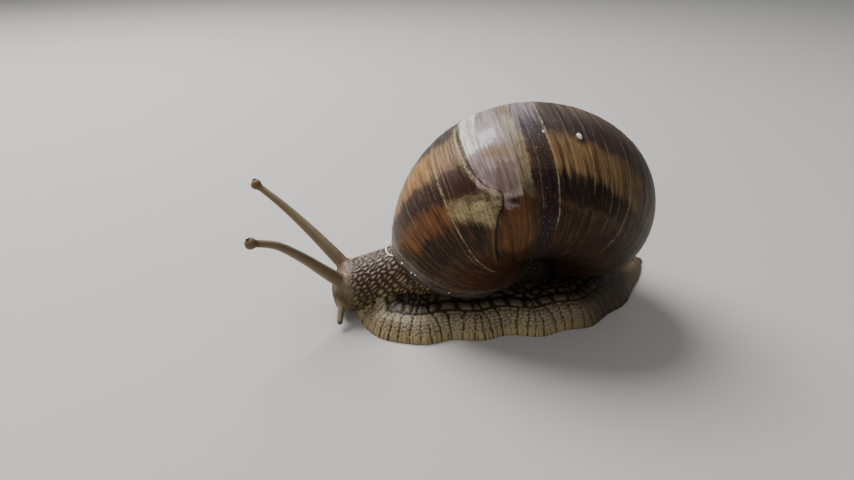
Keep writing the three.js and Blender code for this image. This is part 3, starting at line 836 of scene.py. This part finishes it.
def mantle_material():
    """Pale wet flesh with fine grey speckles."""
    material, tree, shader = start_material(
        "Mantle flesh", subsurface_weight=0.25, subsurface_scale=0.0012, coat_weight=0.35,
        coat_roughness=0.2)
    place = tree.place()
    speckle = tree.noise(place, 2600.0, 4.0, 0.65)
    cloud = tree.noise(place, 420.0, 2.0)
    paint = tree.mix(speckle.smooth(0.42, 0.62), "6d5e48", "a4947a").coats(
        # painted shade: the breathing pore darkened to near black
        (cloud.smooth(0.4, 0.7) * 0.5, "7d7264"), (tree.attribute("pore"), "1c140f"))
    end_material(tree, shader, base_color=paint, roughness=speckle * 0.3 + 0.25,
                 normal=tree.bump(speckle + cloud, 0.12))
    return material


PORE = (58.0, -2.6)  # around and proud of the breathing pore's middle
PORE_SIZE = (5.0, 0.9)


def make_mantle():
    front = [(-3.0, -1.06), (-2.2, -1.12), (-1.6, -1.4), (-1.2, -1.9), (-1.05, -2.5), (-1.25, -3.2),
             (-1.9, -3.8), (-2.8, -4.4), (-3.8, -5.0), (-4.8, -6.0), (-5.6, -7.5), (-6.2, -9.0),
             (-6.8, POLE)]
    back = [(-12.0, POLE), (-11.5, -6.0), (-11.0, -1.3), (-8.0, -1.06), (-5.0, -1.06)]
    points, faces = spiral_grid(back + front, steps(180, -180, 2.5))
    pores, folded = [], []
    for growth, around, proud in points:
        in_front = growth > -7 and proud > -8
        hole = in_front * math.exp(-((around - PORE[0]) / PORE_SIZE[0]) ** 2
                                   - ((proud - PORE[1]) / PORE_SIZE[1]) ** 2)
        fold = 0.25 * math.sin(math.radians(around) * 19) * (in_front and proud < -1.3)
        pores.append(hole)
        folded.append((growth + fold - hole * 4.5, around, proud))
    mesh = make_mesh("mantle", folded, faces)
    put_attribute(mesh, "pore", pores)
    mesh = place_on_spiral(mesh, mantle_material(), 0.0)
    clean(mesh, 0.002)
    finish_piece("mantle", mesh, ["mantle_collar"])


# ---- skin ----

def put_attribute(mesh, name, values):
    layer = mesh.attributes.new(name, "FLOAT", "POINT")
    layer.data.foreach_set("value", np.asarray(values, dtype=np.float32))


def catmull(points, count):
    """Points along a smooth curve through the given ones."""
    points = np.asarray(points, dtype=float)
    last = len(points) - 1
    t = np.linspace(0, last, count)
    i = np.minimum(t.astype(int), last - 1)
    f = (t - i)[:, None]
    p0, p1, p2, p3 = (points[np.clip(i + k, 0, last)] for k in (-1, 0, 1, 2))
    return 0.5 * (2 * p1 + (p2 - p0) * f + (2 * p0 - 5 * p1 + 4 * p2 - p3) * f ** 2
                  + (3 * p1 - p0 - 3 * p2 + p3) * f ** 3)


def even_curve(points, count):
    """The same, with even steps along the curve, and its length."""
    dense = catmull(points, 400)
    gone = np.concatenate([[0], np.cumsum(np.linalg.norm(np.diff(dense, axis=0), axis=1))])
    at = np.linspace(0, gone[-1], count)
    return np.stack([np.interp(at, gone, dense[:, c]) for c in range(3)], axis=1), gone[-1]


def smoothstep(value, low, high):
    share = np.clip((value - low) / (high - low), 0, 1)
    return share * share * (3 - 2 * share)


def foot_share(x):
    return (x - FOOT["front"]) / (FOOT["tip"] - FOOT["front"])


def foot_middle(x):
    u = foot_share(x)
    bend = np.maximum(np.sin(math.pi * u), 0) ** 1.2
    return FOOT["start_y"] + (FOOT["tip_y"] - FOOT["start_y"]) * u * u - FOOT["bow"] * bend


def foot_wide(x):
    """Half the foot's width, as if its front were not rounded."""
    u = foot_share(x)
    full = FOOT["half"] + FOOT["rear_bulge"] * smoothstep(u, 0.34, 0.58)
    ripple = FOOT["ripple"] * np.cos(math.tau * (x - FOOT["front"]) / FOOT["ripple_length"])
    tail = np.maximum((u - FOOT["tail_from"]) / (1 - FOOT["tail_from"]), 0)
    return (full + ripple) * np.maximum(1 - tail ** 2, 0) ** 0.85


def foot_half(x):
    short = np.clip(1 - foot_share(x) / FOOT["front_round"], 0, 1)
    front = (1 - short ** 2.5) ** 0.5
    return np.maximum(foot_wide(x) * front, FOOT["tip_width"])


def foot_height(x, inward, half):
    u = foot_share(x)
    ends = np.minimum(1, 0.45 + u / 0.12) * (1 - 0.55 * smoothstep(u, 0.72, 1))
    rise = np.sin(math.pi / 2 * np.minimum(inward / FOOT["fringe_width"], 1)) ** 0.9
    back = smoothstep(inward, FOOT["fringe_width"], np.maximum(half, FOOT["fringe_width"] + 1))
    return ends * (FOOT["edge"] + (FOOT["fringe_height"] - FOOT["edge"]) * rise
                   + (FOOT["back_height"] - FOOT["fringe_height"]) * back)


def loft(rings):
    """Points and faces of a closed body from rings of points."""
    rings = np.asarray(rings)
    number, count, _ = rings.shape
    points = rings.reshape(-1, 3).tolist()
    faces = list(quads(number, count))
    for ring, first in ((rings[0], 0), (rings[-1], (number - 1) * count)):
        centre = len(points)
        points.append(ring.mean(axis=0).tolist())
        for j in range(count):
            pair = (first + (j + 1) % count, first + j)
            faces.append((centre, *(pair if first == 0 else pair[::-1])))
    return points, faces


def foot_body():
    u = np.linspace(0, 1, FOOT_RINGS)
    u = (1 - np.cos(math.pi * u)) / 2 * 0.35 + u * 0.65
    rings = []
    for x in FOOT["front"] + 0.02 + (FOOT["tip"] - FOOT["front"] - 0.04) * u:
        half, middle = float(foot_half(x)), float(foot_middle(x))
        across = np.sin(np.linspace(-math.pi / 2, math.pi / 2, FOOT_OVER)) * half
        height = foot_height(x, half - np.abs(across), half)
        back = np.stack([np.full(FOOT_OVER, x), middle + across, height], axis=1)
        under = np.linspace(1, -1, FOOT_UNDER) * half
        sole = np.stack([np.full(FOOT_UNDER, x), middle + under, np.zeros(FOOT_UNDER)], axis=1)
        rings.append(np.concatenate([back, sole]))
    return loft(rings)


def trunk_body():
    angles = np.linspace(0, math.tau, TRUNK_SIDES, endpoint=False)
    return loft([
        np.stack([np.full(TRUNK_SIDES, x), y + wide * np.cos(angles), z + high * np.sin(angles)],
                 axis=1) for x, y, z, wide, high in catmull(BODY, TRUNK_RINGS)])


def rings_along(centres, radii, sides):
    """Round rings of points along a line, each with its own radius."""
    angles = np.linspace(0, math.tau, sides, endpoint=False)[:, None]
    rings = []
    last = len(centres) - 1
    for i, centre in enumerate(centres):
        ahead = centres[min(i + 1, last)] - centres[max(i - 1, 0)]
        ahead /= np.linalg.norm(ahead)
        side = np.cross(ahead, (0, 0, 1))
        side /= np.linalg.norm(side)
        over = np.cross(side, ahead)
        rings.append(centre + radii[i] * (np.cos(angles) * side + np.sin(angles) * over))
    return rings


def feeler_body(points, radii):
    """A feeler that narrows from its base and ends in a round knob."""
    base, stalk, knob, soon = radii
    centres, length = even_curve(points, FEELER_RINGS)
    t = np.linspace(0, 1, FEELER_RINGS)
    radius = stalk + (base - stalk) * (1 - t) ** soon
    from_end = (1 - t) * length
    ball = np.sqrt(np.maximum(knob ** 2 - (from_end - knob) ** 2, 1e-4))
    ball = np.where(from_end < 2 * knob, ball, 0)
    blend = np.where(from_end < knob, ball, np.maximum(radius, ball))
    return loft(rings_along(centres, blend, FEELER_SIDES))


def eye_centres():
    """Where each eye stands, and the way its feeler points."""
    for points in UPPER.values():
        centres, _ = even_curve(points, 200)
        ahead = centres[-1] - centres[-3]
        ahead /= np.linalg.norm(ahead)
        knob = centres[-1] - ahead * UPPER_RADII[2]
        yield knob + ahead * EYE_OUT + np.array((0, 0, EYE_UP)), ahead


def coordinates(mesh):
    flat = np.empty(len(mesh.vertices) * 3)
    mesh.vertices.foreach_get("co", flat)
    return flat.reshape(-1, 3)


def toward_neighbours(points, edges):
    """From each point to the middle of those it shares an edge with."""
    count = len(points)
    degree = np.bincount(edges.ravel(), minlength=count)[:, None]
    total = np.stack([
        np.bincount(edges[:, 0], points[edges[:, 1], c], count)
        + np.bincount(edges[:, 1], points[edges[:, 0], c], count) for c in range(3)], axis=1)
    return total / degree - points


def relax(points, edges, rounds):
    """Smooths points along the edges without shrinking the whole."""
    for factor in [0.5, -0.53] * rounds:
        points = points + factor * toward_neighbours(points, edges)
    return points


def nearest(points, line):
    """For each point, the distance to the nearest point of a line and that point's number."""
    best = np.full(len(points), 1e9)
    number = np.zeros(len(points), dtype=int)
    for i, place in enumerate(line):
        far = ((points - place) ** 2).sum(axis=1)
        closer = far < best
        best[closer] = far[closer]
        number[closer] = i
    return np.sqrt(best), number


VOXEL = 0.2
# For the upper and the lower feelers, mm round the root where the skin is smoothed into the
# head, and how far up the feeler that root is.
ROOT_REACH = (2.6, 1.56)
ROOT_UP = (1.9, 1.0)
ROOT_ROUNDS = 36


def fused_flesh():
    """One closed skin over the foot, the body and the feelers."""
    bodies = [foot_body(), trunk_body()]
    bodies += [feeler_body(points, radii) for lines, radii in FEELERS for points in lines.values()]
    holder = add_object("holder", joined("flesh", bodies))
    fuse = holder.modifiers.new("Fuse", "REMESH")
    fuse.mode = "VOXEL"
    fuse.voxel_size = VOXEL
    return take_mesh(holder)


def soften_roots(points, edges):
    """Smooths the skin round the feelers' roots, so that they grow out of the head."""
    weight = np.zeros(len(points))
    for (lines, _), reach, up in zip(FEELERS, ROOT_REACH, ROOT_UP):
        for line_points in lines.values():
            line, length = even_curve(line_points, FEELER_RINGS)
            root = line[int((FEELER_RINGS - 1) * up / length)]
            far = np.sqrt(((points - root) ** 2).sum(axis=1))
            weight = np.maximum(weight, smoothstep(far, reach, reach * 0.3))
    for _ in range(ROOT_ROUNDS):
        points = points + 0.5 * weight[:, None] * toward_neighbours(points, edges)
    return points


def margin_line():
    """Even points along the foot's margin, from the front by the tail, and how far each is."""
    stations = np.linspace(FOOT["front"], FOOT["tip"], 400)
    middle, half = foot_middle(stations), foot_half(stations)
    right, left = (np.stack([stations, middle + side * half], axis=1) for side in (1, -1))
    margin = np.concatenate([right[::-1], left])
    along = np.concatenate([[0], np.cumsum(np.linalg.norm(np.diff(margin, axis=0), axis=1))])
    evenly = np.linspace(0, along[-1], 700)
    return np.stack([np.interp(evenly, along, margin[:, c]) for c in range(2)], axis=1), evenly


def skin_coordinates(mesh):
    """Stores where each point lies along the body, the foot's margin and the feelers."""
    points = coordinates(mesh)
    x, y, z = points.T
    table = catmull(BODY, 300)
    cy, cz, wide, high = (np.interp(x, table[:, 0], table[:, c]) for c in (1, 2, 3, 4))
    angle = np.arctan2((y - cy) / wide, (z - cz) / high)  # 0 on the back, negative on the left
    margin, evenly = margin_line()
    inward, number = nearest(points[:, :2], margin)
    half, middle = foot_half(x), foot_middle(x)
    from_middle = np.abs(y - middle)
    from_side = np.clip(half - from_middle, 0, half)
    top = foot_height(np.clip(x, FOOT["front"], FOOT["tip"]), from_side, half)
    on_foot = (from_middle < half + 0.3) & (x > FOOT["front"] - 0.3)
    share = smoothstep(from_middle, 4.5, 8.5)
    band = (foot_wide(x) - from_middle) * share + inward * (1 - share)
    # where the neck meets the top of the foot: a mask for painted shade in the crevice
    crevice_shade = np.where(on_foot, np.exp(-((z - top - 0.35) / 0.6) ** 2), 0.0)
    across = np.abs(y - 2.3)
    gape = np.exp(-((z - 2.5 + 0.2 * across ** 2) / 0.3) ** 2) * smoothstep(across, 2.1, 1.4)
    cleft = np.exp(-(across / 0.22) ** 2) * smoothstep(z, 1.2, 1.6) * smoothstep(z, 2.7, 2.4)
    feeler, feeler_along = np.zeros(len(points)), np.zeros(len(points))
    for lines, (base, stalk, knob, soon) in FEELERS:
        for line_points in lines.values():
            far, at = nearest(points, even_curve(line_points, FEELER_RINGS)[0])
            t = at / (FEELER_RINGS - 1)
            radius = np.where(t > 0.85, knob, stalk + (base - stalk) * (1 - t) ** soon)
            on = smoothstep(far, radius + 1.1, radius + 0.1) * smoothstep(t, 0.08, 0.25)
            feeler_along = np.where(on > feeler, t, feeler_along)
            feeler = np.maximum(feeler, on)
    values = {
        "length": x, "girth": angle * np.sqrt((wide ** 2 + high ** 2) / 2),
        "margin": evenly[number], "inward": inward,
        "foot": np.where(on_foot, smoothstep(z - top, 0.55, 0.15), 0.0), "feeler": feeler,
        "feeler_along": feeler_along, "angle": angle,
        "crevice_shade": crevice_shade * smoothstep(band, 4.8, 6.0), "band": band,
        "mouth": np.maximum(gape, cleft) * smoothstep(x, -22.6, -23.4)}
    for name, value in values.items():
        put_attribute(mesh, name, value)


WART_CLIMB = math.radians(30)  # how steeply the rows of warts climb back toward the shell
LEDGE = 4.4  # mm in from the margin, where the fringe ends in a crease
UPPER_LEDGE = 6.4  # where the row of knobs above the crease ends
SOLE = 0.02  # mm up to which a point counts as on the sole
SKIN_SIZES = ["Wart Length", "Wart Width", "Furrow Depth", "Column Spacing", "Groove Depth",
              "Cell Size"]


def skin_tree(sizes):
    """Cuts furrows between warts on the neck and between columns on the foot's fringe."""
    group, tree, given = geometry_tree("Snail Skin", sizes)
    length, girth, margin, inward, foot, feeler, band, mouth = tree.attributes(
        "length", "girth", "margin", "inward", "foot", "feeler", "band", "mouth")
    head = length.smooth(-20.3, -23.6)

    # warts, longer along lines that climb back toward the shell
    wander = tree.pattern(length * 0.2, girth * 0.2, detail=2.0, roughness=0.5) - 0.5
    cosine, sine = math.cos(WART_CLIMB), math.sin(WART_CLIMB)
    along, across = length + wander * 1.6, abs(girth) + wander * 1.6
    u = (along * cosine - across * sine) / given["Wart Length"]
    v = (along * sine + across * cosine) / given["Wart Width"]
    flip = girth.smooth(-0.05, 0.05) * 40.0
    where = tree.vector(u + flip, v)
    small = tree.cells(tree.vector(u * 1.6 + flip + 9.0, v * 1.5), 0.95)
    wart = tree.cells(where, 0.85) * (1.0 - head) + small * head

    # the fringe: columns split into small cells, shorter and plainer at the very edge
    sway = tree.pattern(margin * 0.25, inward * 0.35, 5.0, detail=2.0, roughness=0.5) - 0.5
    column_at = margin + sway * 0.9
    column = tree.cells(column_at / given["Column Spacing"], 0.6, "1D").smooth(0.015, 0.13)
    minor = tree.cells(column_at / 0.85, 0.7, "1D").smooth(0.02, 0.25)
    height = tree.field("GeometryNodeInputPosition").part(2)
    up_slope = height * 0.9 + inward * 0.75
    cell_where = tree.vector(column_at / given["Cell Size"], up_slope / given["Cell Size"])
    near_edge = up_slope.smooth(1.7, 1.2)
    cell = tree.cells(cell_where, 0.8).smooth(0.02, 0.26) * (1.0 - near_edge) + minor * near_edge
    # above the crease, a row of squarish knobs, and then small dark warts
    knob = tree.cells((margin + sway * 1.6) / 1.55, 0.8, "1D").smooth(0.0, 0.32)
    knob = (knob * band.smooth(LEDGE + 0.1, LEDGE + 0.55)
            * band.smooth(UPPER_LEDGE, UPPER_LEDGE - 0.6) * (cell * 0.3 + 0.7))
    above = tree.cells(tree.vector(margin / 1.2, band / 1.1), 0.9).smooth(0.05, 0.3)
    over = knob.larger(above * band.smooth(UPPER_LEDGE, UPPER_LEDGE + 0.5))
    crease = abs(band - LEDGE + sway * 0.5).smooth(0.08, 0.4)
    in_fringe = band.smooth(LEDGE + 0.1, LEDGE - 0.1)
    calm = 1.0 - length.smooth(6.0, 20.0) * 0.2 - length.smooth(20.0, 30.0) * 0.3
    fringe, fringe_cut = [
        1.0 - (1.0 - (part * crease * in_fringe + over * (1.0 - in_fringe))) * calm
        for part in (column.smaller(cell * 0.75 + 0.25), column * 0.64 + cell * 0.36)]

    plain = (1.0 - head * 0.55) * (1.0 - feeler * 0.93)
    share = (wart / 0.42).smaller(1.0)
    wart_cut = 1.0 - (1.0 - tree.math("SQRT", share * (2.0 - share))) * plain
    wart_shade = 1.0 - (1.0 - wart.smooth(0.0, 0.56)) * plain
    creases = tree.pattern(length * 1.3, height * 0.7, girth * 0.9) - 0.5
    face = head * (1.0 - feeler) * (creases * 0.35 - mouth * 0.35)
    cut = ((wart_cut - 1.0) * given["Furrow Depth"] * (1.0 - foot)
           + (fringe_cut - 1.0) * given["Groove Depth"] * foot + face) * height.smooth(0.12, 0.45)
    tint = tree.tint(where, 0.85) * (1.0 - foot) + tree.tint(cell_where, 0.85) * foot
    # the stored bead value is lighter on wart tops and fringe cells and darker in furrows and grooves,
    # for painted shading
    geometry = store(tree, given["Geometry"], bead=wart_shade * (1.0 - foot) + fringe * foot,
                     tint=tint)
    end_geometry_tree(tree, geometry, cut, given["Material"])
    return group


def skin_material():
    """Moist skin: pinkish on the back, olive on the flanks, tan on the fringe."""
    settings = bpy.context.scene.snail_skin
    material, tree, shader = start_material(
        "Moist skin", specular_ior_level=0.25, subsurface_weight=0.12, subsurface_scale=0.0008,
        coat_weight=0.06, coat_roughness=0.25)
    length, inward, band, foot, feeler, angle, bead, tint, along, mouth, crevice_shade = tree.attributes(
        "length", "inward", "band", "foot", "feeler", "angle", "bead", "tint", "feeler_along",
        "mouth", "crevice_shade")
    place = tree.place()
    height = place.part(2) * 1000.0
    cloud = tree.noise(place, 260.0, 3.0)
    speckle = tree.noise(place, 2200.0, 3.0, 0.6)
    side = abs(angle).smooth(0.7, 1.7)
    face = tree.mix(height.smooth(4.6, 6.6), settings.head, "6f624c").coats(
        (height.smooth(7.4, 9.0) * 0.8, "8d6f5d"), (speckle.smooth(0.5, 0.68) * 0.35, "2c1b0f"),
        # painted shade: the mouth's slit and cleft darkened to near black
        (mouth * 0.85, "1b0f08"))
    # painted highlight: the tops of the warts on the neck lighter
    crest_highlight = bead.smooth(0.6, 1.0) * length.smooth(-21.6, -19.4)
    neck = tree.mix(side, settings.back, settings.flank).coats(
        (tint * 0.4, tree.mix(side, "967a66", "938660")),
        (crest_highlight * 0.45, tree.mix(side, "b0917c", "b5a172")),
        (length.smooth(-20.6, -23.6) * 0.85, face))
    fringe = tree.mix(inward.smooth(0.2, 1.6), settings.edge, settings.fringe).coats(
        # painted shadow of the shell: the fringe darker from the middle back, partly its own tone,
        # lighter again on the tail beyond the shell
        (tint * 0.35, "96866c"), (length.smooth(10.0, 21.0) * 0.88, settings.rear),
        # painted shade: the foot above the crease, under the shell's lip, dimmed
        (band.smooth(LEDGE - 0.2, LEDGE + 0.6) * 0.6, "37322a"),
        (length.smooth(27.0, 34.0) * 0.7, "776143"))
    facing = tree.field("ShaderNodeNewGeometry", out="Normal").part(2)
    stalk = tree.mix(facing.smooth(-0.85, -0.35), settings.feeler, "75634a").coats(
        # painted sheen: the feelers' upper side lighter
        (facing.smooth(0.3, 0.95) * 0.7, "8c816a"), (along.smooth(0.35, 0.0) * 0.5, "66503a"),
        (along.smooth(0.86, 0.94) * 0.6, "5e4428"))
    # a mask for painted shade on the skin under the shell
    under = length.smooth(-5.0, 1.0) * band.smooth(6.0, 8.0) * length.smooth(28.0, 22.0)
    paint = neck.coats(
        # furrows between warts and the fringe's grooves darker, partly their own tone and partly
        # painted shade
        (foot, fringe), (bead.smooth(0.7, 0.06) * 0.9, tree.mix(foot, "2a1a0d", "241c12")),
        # painted shade: the crevice above the foot and the skin under the shell darkened to near black
        (crevice_shade.larger(under) * 0.85, "0c0805"), (feeler, stalk),
        ((cloud - 0.5) * 0.5 + 0.08, "24180d"))
    end_material(tree, shader, base_color=paint, roughness=speckle * 0.25 + 0.38,
                 normal=tree.bump(speckle * 0.6 + cloud * 0.2, 0.05))
    return material


def make_skin():
    settings = bpy.context.scene.snail_skin
    mesh = fused_flesh()
    edges = np.empty(len(mesh.edges) * 2, dtype=int)
    mesh.edges.foreach_get("vertices", edges)
    edges = edges.reshape(-1, 2)
    points = soften_roots(relax(coordinates(mesh), edges, 5), edges)
    points[:, 2] = np.where(points[:, 2] < 0.1, 0.0, points[:, 2])
    mesh.vertices.foreach_set("co", points.ravel())
    mesh.update()
    skin_coordinates(mesh)
    sizes = {name: getattr(settings, name.lower().replace(" ", "_")) / MM for name in SKIN_SIZES}
    mesh = run_tree(mesh, skin_tree(sizes), skin_material(), sizes)
    flatten_sole(mesh)
    feelers = [f"{side}_upper_tentacle_{part}" for side in UPPER for part in ("base", "middle", "tip")]
    feelers += [f"{side}_lower_tentacle" for side in LOWER]
    flesh = ["head", "neck", "trunk", "foot_front", "foot_middle", "foot_rear", "tail"]
    finish_piece("skin", mesh, flesh + feelers)


def flatten_sole(mesh):
    """Joins the many small faces of the flat sole."""
    shape = bmesh.new()
    shape.from_mesh(mesh)
    flat = [v for v in shape.verts if v.co.z < SOLE and all(
        w.other_vert(v).co.z < SOLE for w in v.link_edges)]
    bmesh.ops.dissolve_verts(shape, verts=flat)
    shape.to_mesh(mesh)
    shape.free()


# ---- eyes and small things ----

def eye_material():
    material, tree, shader = start_material(
        "Eye", roughness=0.08, coat_weight=1.0, coat_roughness=0.03)
    cloud = tree.noise(tree.place(), 3000.0, 2.0)
    end_material(tree, shader, base_color=tree.mix(cloud, "0b0806", "2b2119"))
    return material


def make_eyes():
    material = eye_material()
    for side, (centre, ahead) in zip(UPPER, eye_centres()):
        shape = bmesh.new()
        bmesh.ops.create_uvsphere(shape, u_segments=32, v_segments=20, radius=EYE_RADIUS)
        squash = Matrix.Diagonal((1, 1, 0.9)).to_4x4()
        turn = Vector(ahead).to_track_quat("Z", "Y").to_matrix().to_4x4()
        shape.transform(Matrix.Translation(centre) @ turn @ squash)
        mesh = bpy.data.meshes.new(f"{side}_eyeball")
        shape.to_mesh(mesh)
        shape.free()
        mesh.materials.append(material)
        finish_piece(f"{side}_eyeball", mesh, [f"{side}_eye"])


# ---- stage ----

CAMERA_AT = (-33.25, -95.36, 61.3)
CAMERA_TOWARD = (0.2521, 0.9677)
CAMERA_DOWN = 26.0
CAMERA_LENS = 27.19
FLOOR = 3.0  # half the floor's width in metres
LIT_AT = (0, 0, 0.015)
# name, place, size, watts, colour, whether it shows in gloss
LAMPS = [
    ("overhead", (-0.15, 0.26, 0.40), 0.36, 4.6, (0.96, 0.98, 1.0), True),
    ("front", (-0.30, -0.34, 0.22), 0.34, 0.8, (1.0, 0.98, 0.95), False),
]


def aim(holder, place, direction):
    """Puts a camera or a lamp in its place, looking in a direction."""
    holder.location = place
    holder.rotation_euler = direction.to_track_quat("-Z", "Y").to_euler()


def make_stage():
    scene = bpy.context.scene
    settings = scene.snail_stage
    camera = bpy.data.cameras.new("camera")
    camera.lens = CAMERA_LENS
    camera.sensor_width = 36
    camera.clip_start = 0.005
    camera.clip_end = 10
    down = math.radians(CAMERA_DOWN)
    look = Vector((CAMERA_TOWARD[0] * math.cos(down), CAMERA_TOWARD[1] * math.cos(down),
                   -math.sin(down)))
    scene.camera = add_object("camera", camera)
    aim(scene.camera, Vector(CAMERA_AT) * MM, look)

    corners = [(-FLOOR, -FLOOR, 0), (FLOOR, -FLOOR, 0), (FLOOR, FLOOR, 0), (-FLOOR, FLOOR, 0)]
    mesh = make_mesh("floor", corners, [(0, 1, 2, 3)])
    material, _, shader = start_material("Floor", roughness=0.75)
    shader.inputs["Base Color"].default_value = (*settings.floor, 1.0)
    mesh.materials.append(material)
    floor = add_object("floor", mesh)
    floor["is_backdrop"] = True

    scene.world = bpy.data.worlds.new("studio")
    scene.world.use_nodes = True
    sky = Tree(scene.world.node_tree)
    height = sky.field("ShaderNodeTexCoord", out="Generated").part(2)
    tone = sky.mix(height.smooth(-0.05, 0.75), (0.6, 0.6, 0.6, 1.0), (0.86, 0.93, 1.0, 1.0))
    background = sky.nodes["Background"]
    sky.links.new(tone.socket, background.inputs["Color"])
    background.inputs["Strength"].default_value = settings.fill
    for name, place, size, watts, tone, glossy in LAMPS:
        lamp = bpy.data.lights.new(name, "AREA")
        lamp.shape = "DISK"
        lamp.size = size
        lamp.energy = watts * settings.lamps
        lamp.color = tone
        stand = add_object(name, lamp)
        aim(stand, place, Vector(LIT_AT) - Vector(place))
        stand.visible_glossy = glossy


# ---- settings, operators and panel ----

def length_property(name, description, millimetres):
    return FloatProperty(name=name, description=description, default=millimetres * MM,
                         subtype="DISTANCE", unit="LENGTH", precision=5)


def colour_property(name, description, code):
    return FloatVectorProperty(name=name, description=description, default=srgb(code),
                               size=4, min=0, max=1, subtype="COLOR")


class ShellSettings(bpy.types.PropertyGroup):
    """Sizes and colours of the shell."""

    line_depth: length_property("Line Depth", "Height of the growth lines", 0.11)
    crack_depth: length_property("Crack Depth", "Depth of the healed crack", 0.28)
    ochre: colour_property("Ochre", "Light ground between the bands", "8c6c46")
    ochre_deep: colour_property("Deep Ochre", "Dark streaks in the ground", "3f2a16")
    band_dark: colour_property("Band", "Dark spiral bands", "0d0504")
    band_light: colour_property("Worn Band", "Streaks in the dark bands", "24140e")
    growth_line: colour_property("Growth Line", "Pale resting lines", "a08c6e")


class SkinSettings(bpy.types.PropertyGroup):
    """Sizes and colours of the skin."""

    wart_length: length_property("Wart Length", "Length of the warts on the neck", 1.2)
    wart_width: length_property("Wart Width", "Width of the warts on the neck", 0.78)
    furrow_depth: length_property("Furrow Depth", "Depth between the warts", 0.35)
    column_spacing: length_property("Column Spacing", "Distance between the fringe's grooves", 1.8)
    groove_depth: length_property("Groove Depth", "Depth of the fringe's grooves", 0.35)
    cell_size: length_property("Cell Size", "Size of the fringe's small cells", 0.75)
    back: colour_property("Back", "Warts on the back of the neck", "755b4b")
    flank: colour_property("Flank", "Warts on the sides of the neck", "736443")
    head: colour_property("Head", "Skin of the head", "482f1c")
    fringe: colour_property("Fringe", "Skin of the foot's fringe", "8a7c64")
    edge: colour_property("Edge", "The foot's lower edge", "907f59")
    # the foot behind, its colour partly its own and partly darkened as painted shadow of the shell
    rear: colour_property("Rear", "Skin of the foot behind", "2a2013")
    feeler: colour_property("Feeler", "Underside of the feelers", "8f866f")


class StageSettings(bpy.types.PropertyGroup):
    """The floor and the lights."""

    floor: FloatVectorProperty(name="Floor", description="Colour of the floor", size=3,
                               default=srgb("b3afa9")[:3], min=0, max=1, subtype="COLOR")
    fill: FloatProperty(name="Fill", description="Strength of the light from all round",
                        default=0.34, min=0)
    lamps: FloatProperty(name="Lamps", description="Strength of the lamps", default=1.0, min=0)


class MakePiece:
    """What the operators share."""

    bl_options = {"REGISTER", "UNDO"}

    def execute(self, context):
        self.make()
        return {"FINISHED"}


class SNAIL_OT_stage(MakePiece, bpy.types.Operator):
    """Set the camera, the floor and the lights"""

    bl_idname = "snail.stage"
    bl_label = "Stage"
    make = staticmethod(make_stage)


class SNAIL_OT_shell(MakePiece, bpy.types.Operator):
    """Build the shell's whorls"""

    bl_idname = "snail.shell"
    bl_label = "Shell"
    make = staticmethod(make_shell)


class SNAIL_OT_lip(MakePiece, bpy.types.Operator):
    """Build the new edge at the shell's mouth"""

    bl_idname = "snail.lip"
    bl_label = "Lip"
    make = staticmethod(make_lip)


class SNAIL_OT_mantle(MakePiece, bpy.types.Operator):
    """Build the mantle inside the shell's mouth"""

    bl_idname = "snail.mantle"
    bl_label = "Mantle"
    make = staticmethod(make_mantle)


class SNAIL_OT_skin(MakePiece, bpy.types.Operator):
    """Build the skin of the foot, neck, head and feelers"""

    bl_idname = "snail.skin"
    bl_label = "Skin"
    make = staticmethod(make_skin)


class SNAIL_OT_eyes(MakePiece, bpy.types.Operator):
    """Build the two eyes"""

    bl_idname = "snail.eyes"
    bl_label = "Eyes"
    make = staticmethod(make_eyes)


OPERATORS = [SNAIL_OT_stage, SNAIL_OT_shell, SNAIL_OT_lip, SNAIL_OT_mantle, SNAIL_OT_skin,
             SNAIL_OT_eyes]


class SNAIL_PT_panel(bpy.types.Panel):
    """Lists the settings and the operators"""

    bl_label = "Land Snail"
    bl_idname = "SNAIL_PT_panel"
    bl_space_type = "VIEW_3D"
    bl_region_type = "UI"
    bl_category = "Snail"

    def draw(self, context):
        layout = self.layout
        for group in (context.scene.snail_shell, context.scene.snail_skin,
                      context.scene.snail_stage):
            box = layout.box()
            for name in group.bl_rna.properties.keys():
                if name not in {"rna_type", "name"}:
                    box.prop(group, name)
        for operator in OPERATORS:
            layout.operator(operator.bl_idname)


CLASSES = [ShellSettings, SkinSettings, StageSettings, *OPERATORS, SNAIL_PT_panel]
GROUPS = {"snail_shell": ShellSettings, "snail_skin": SkinSettings, "snail_stage": StageSettings}


def register():
    for cls in CLASSES:
        bpy.utils.register_class(cls)
    for name, cls in GROUPS.items():
        setattr(bpy.types.Scene, name, PointerProperty(type=cls))


def unregister():
    for name in GROUPS:
        delattr(bpy.types.Scene, name)
    for cls in reversed(CLASSES):
        bpy.utils.unregister_class(cls)


def main():
    register()
    bpy.ops.snail.stage()
    bpy.ops.snail.shell()
    bpy.ops.snail.lip()
    bpy.ops.snail.mantle()
    bpy.ops.snail.skin()
    bpy.ops.snail.eyes()
    boxes = {"cad": CAD_BOX, "visual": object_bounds()}
    plain = {name: [list(corner) for corner in box] for name, box in boxes.items()}


if __name__ == "__main__":
    main()
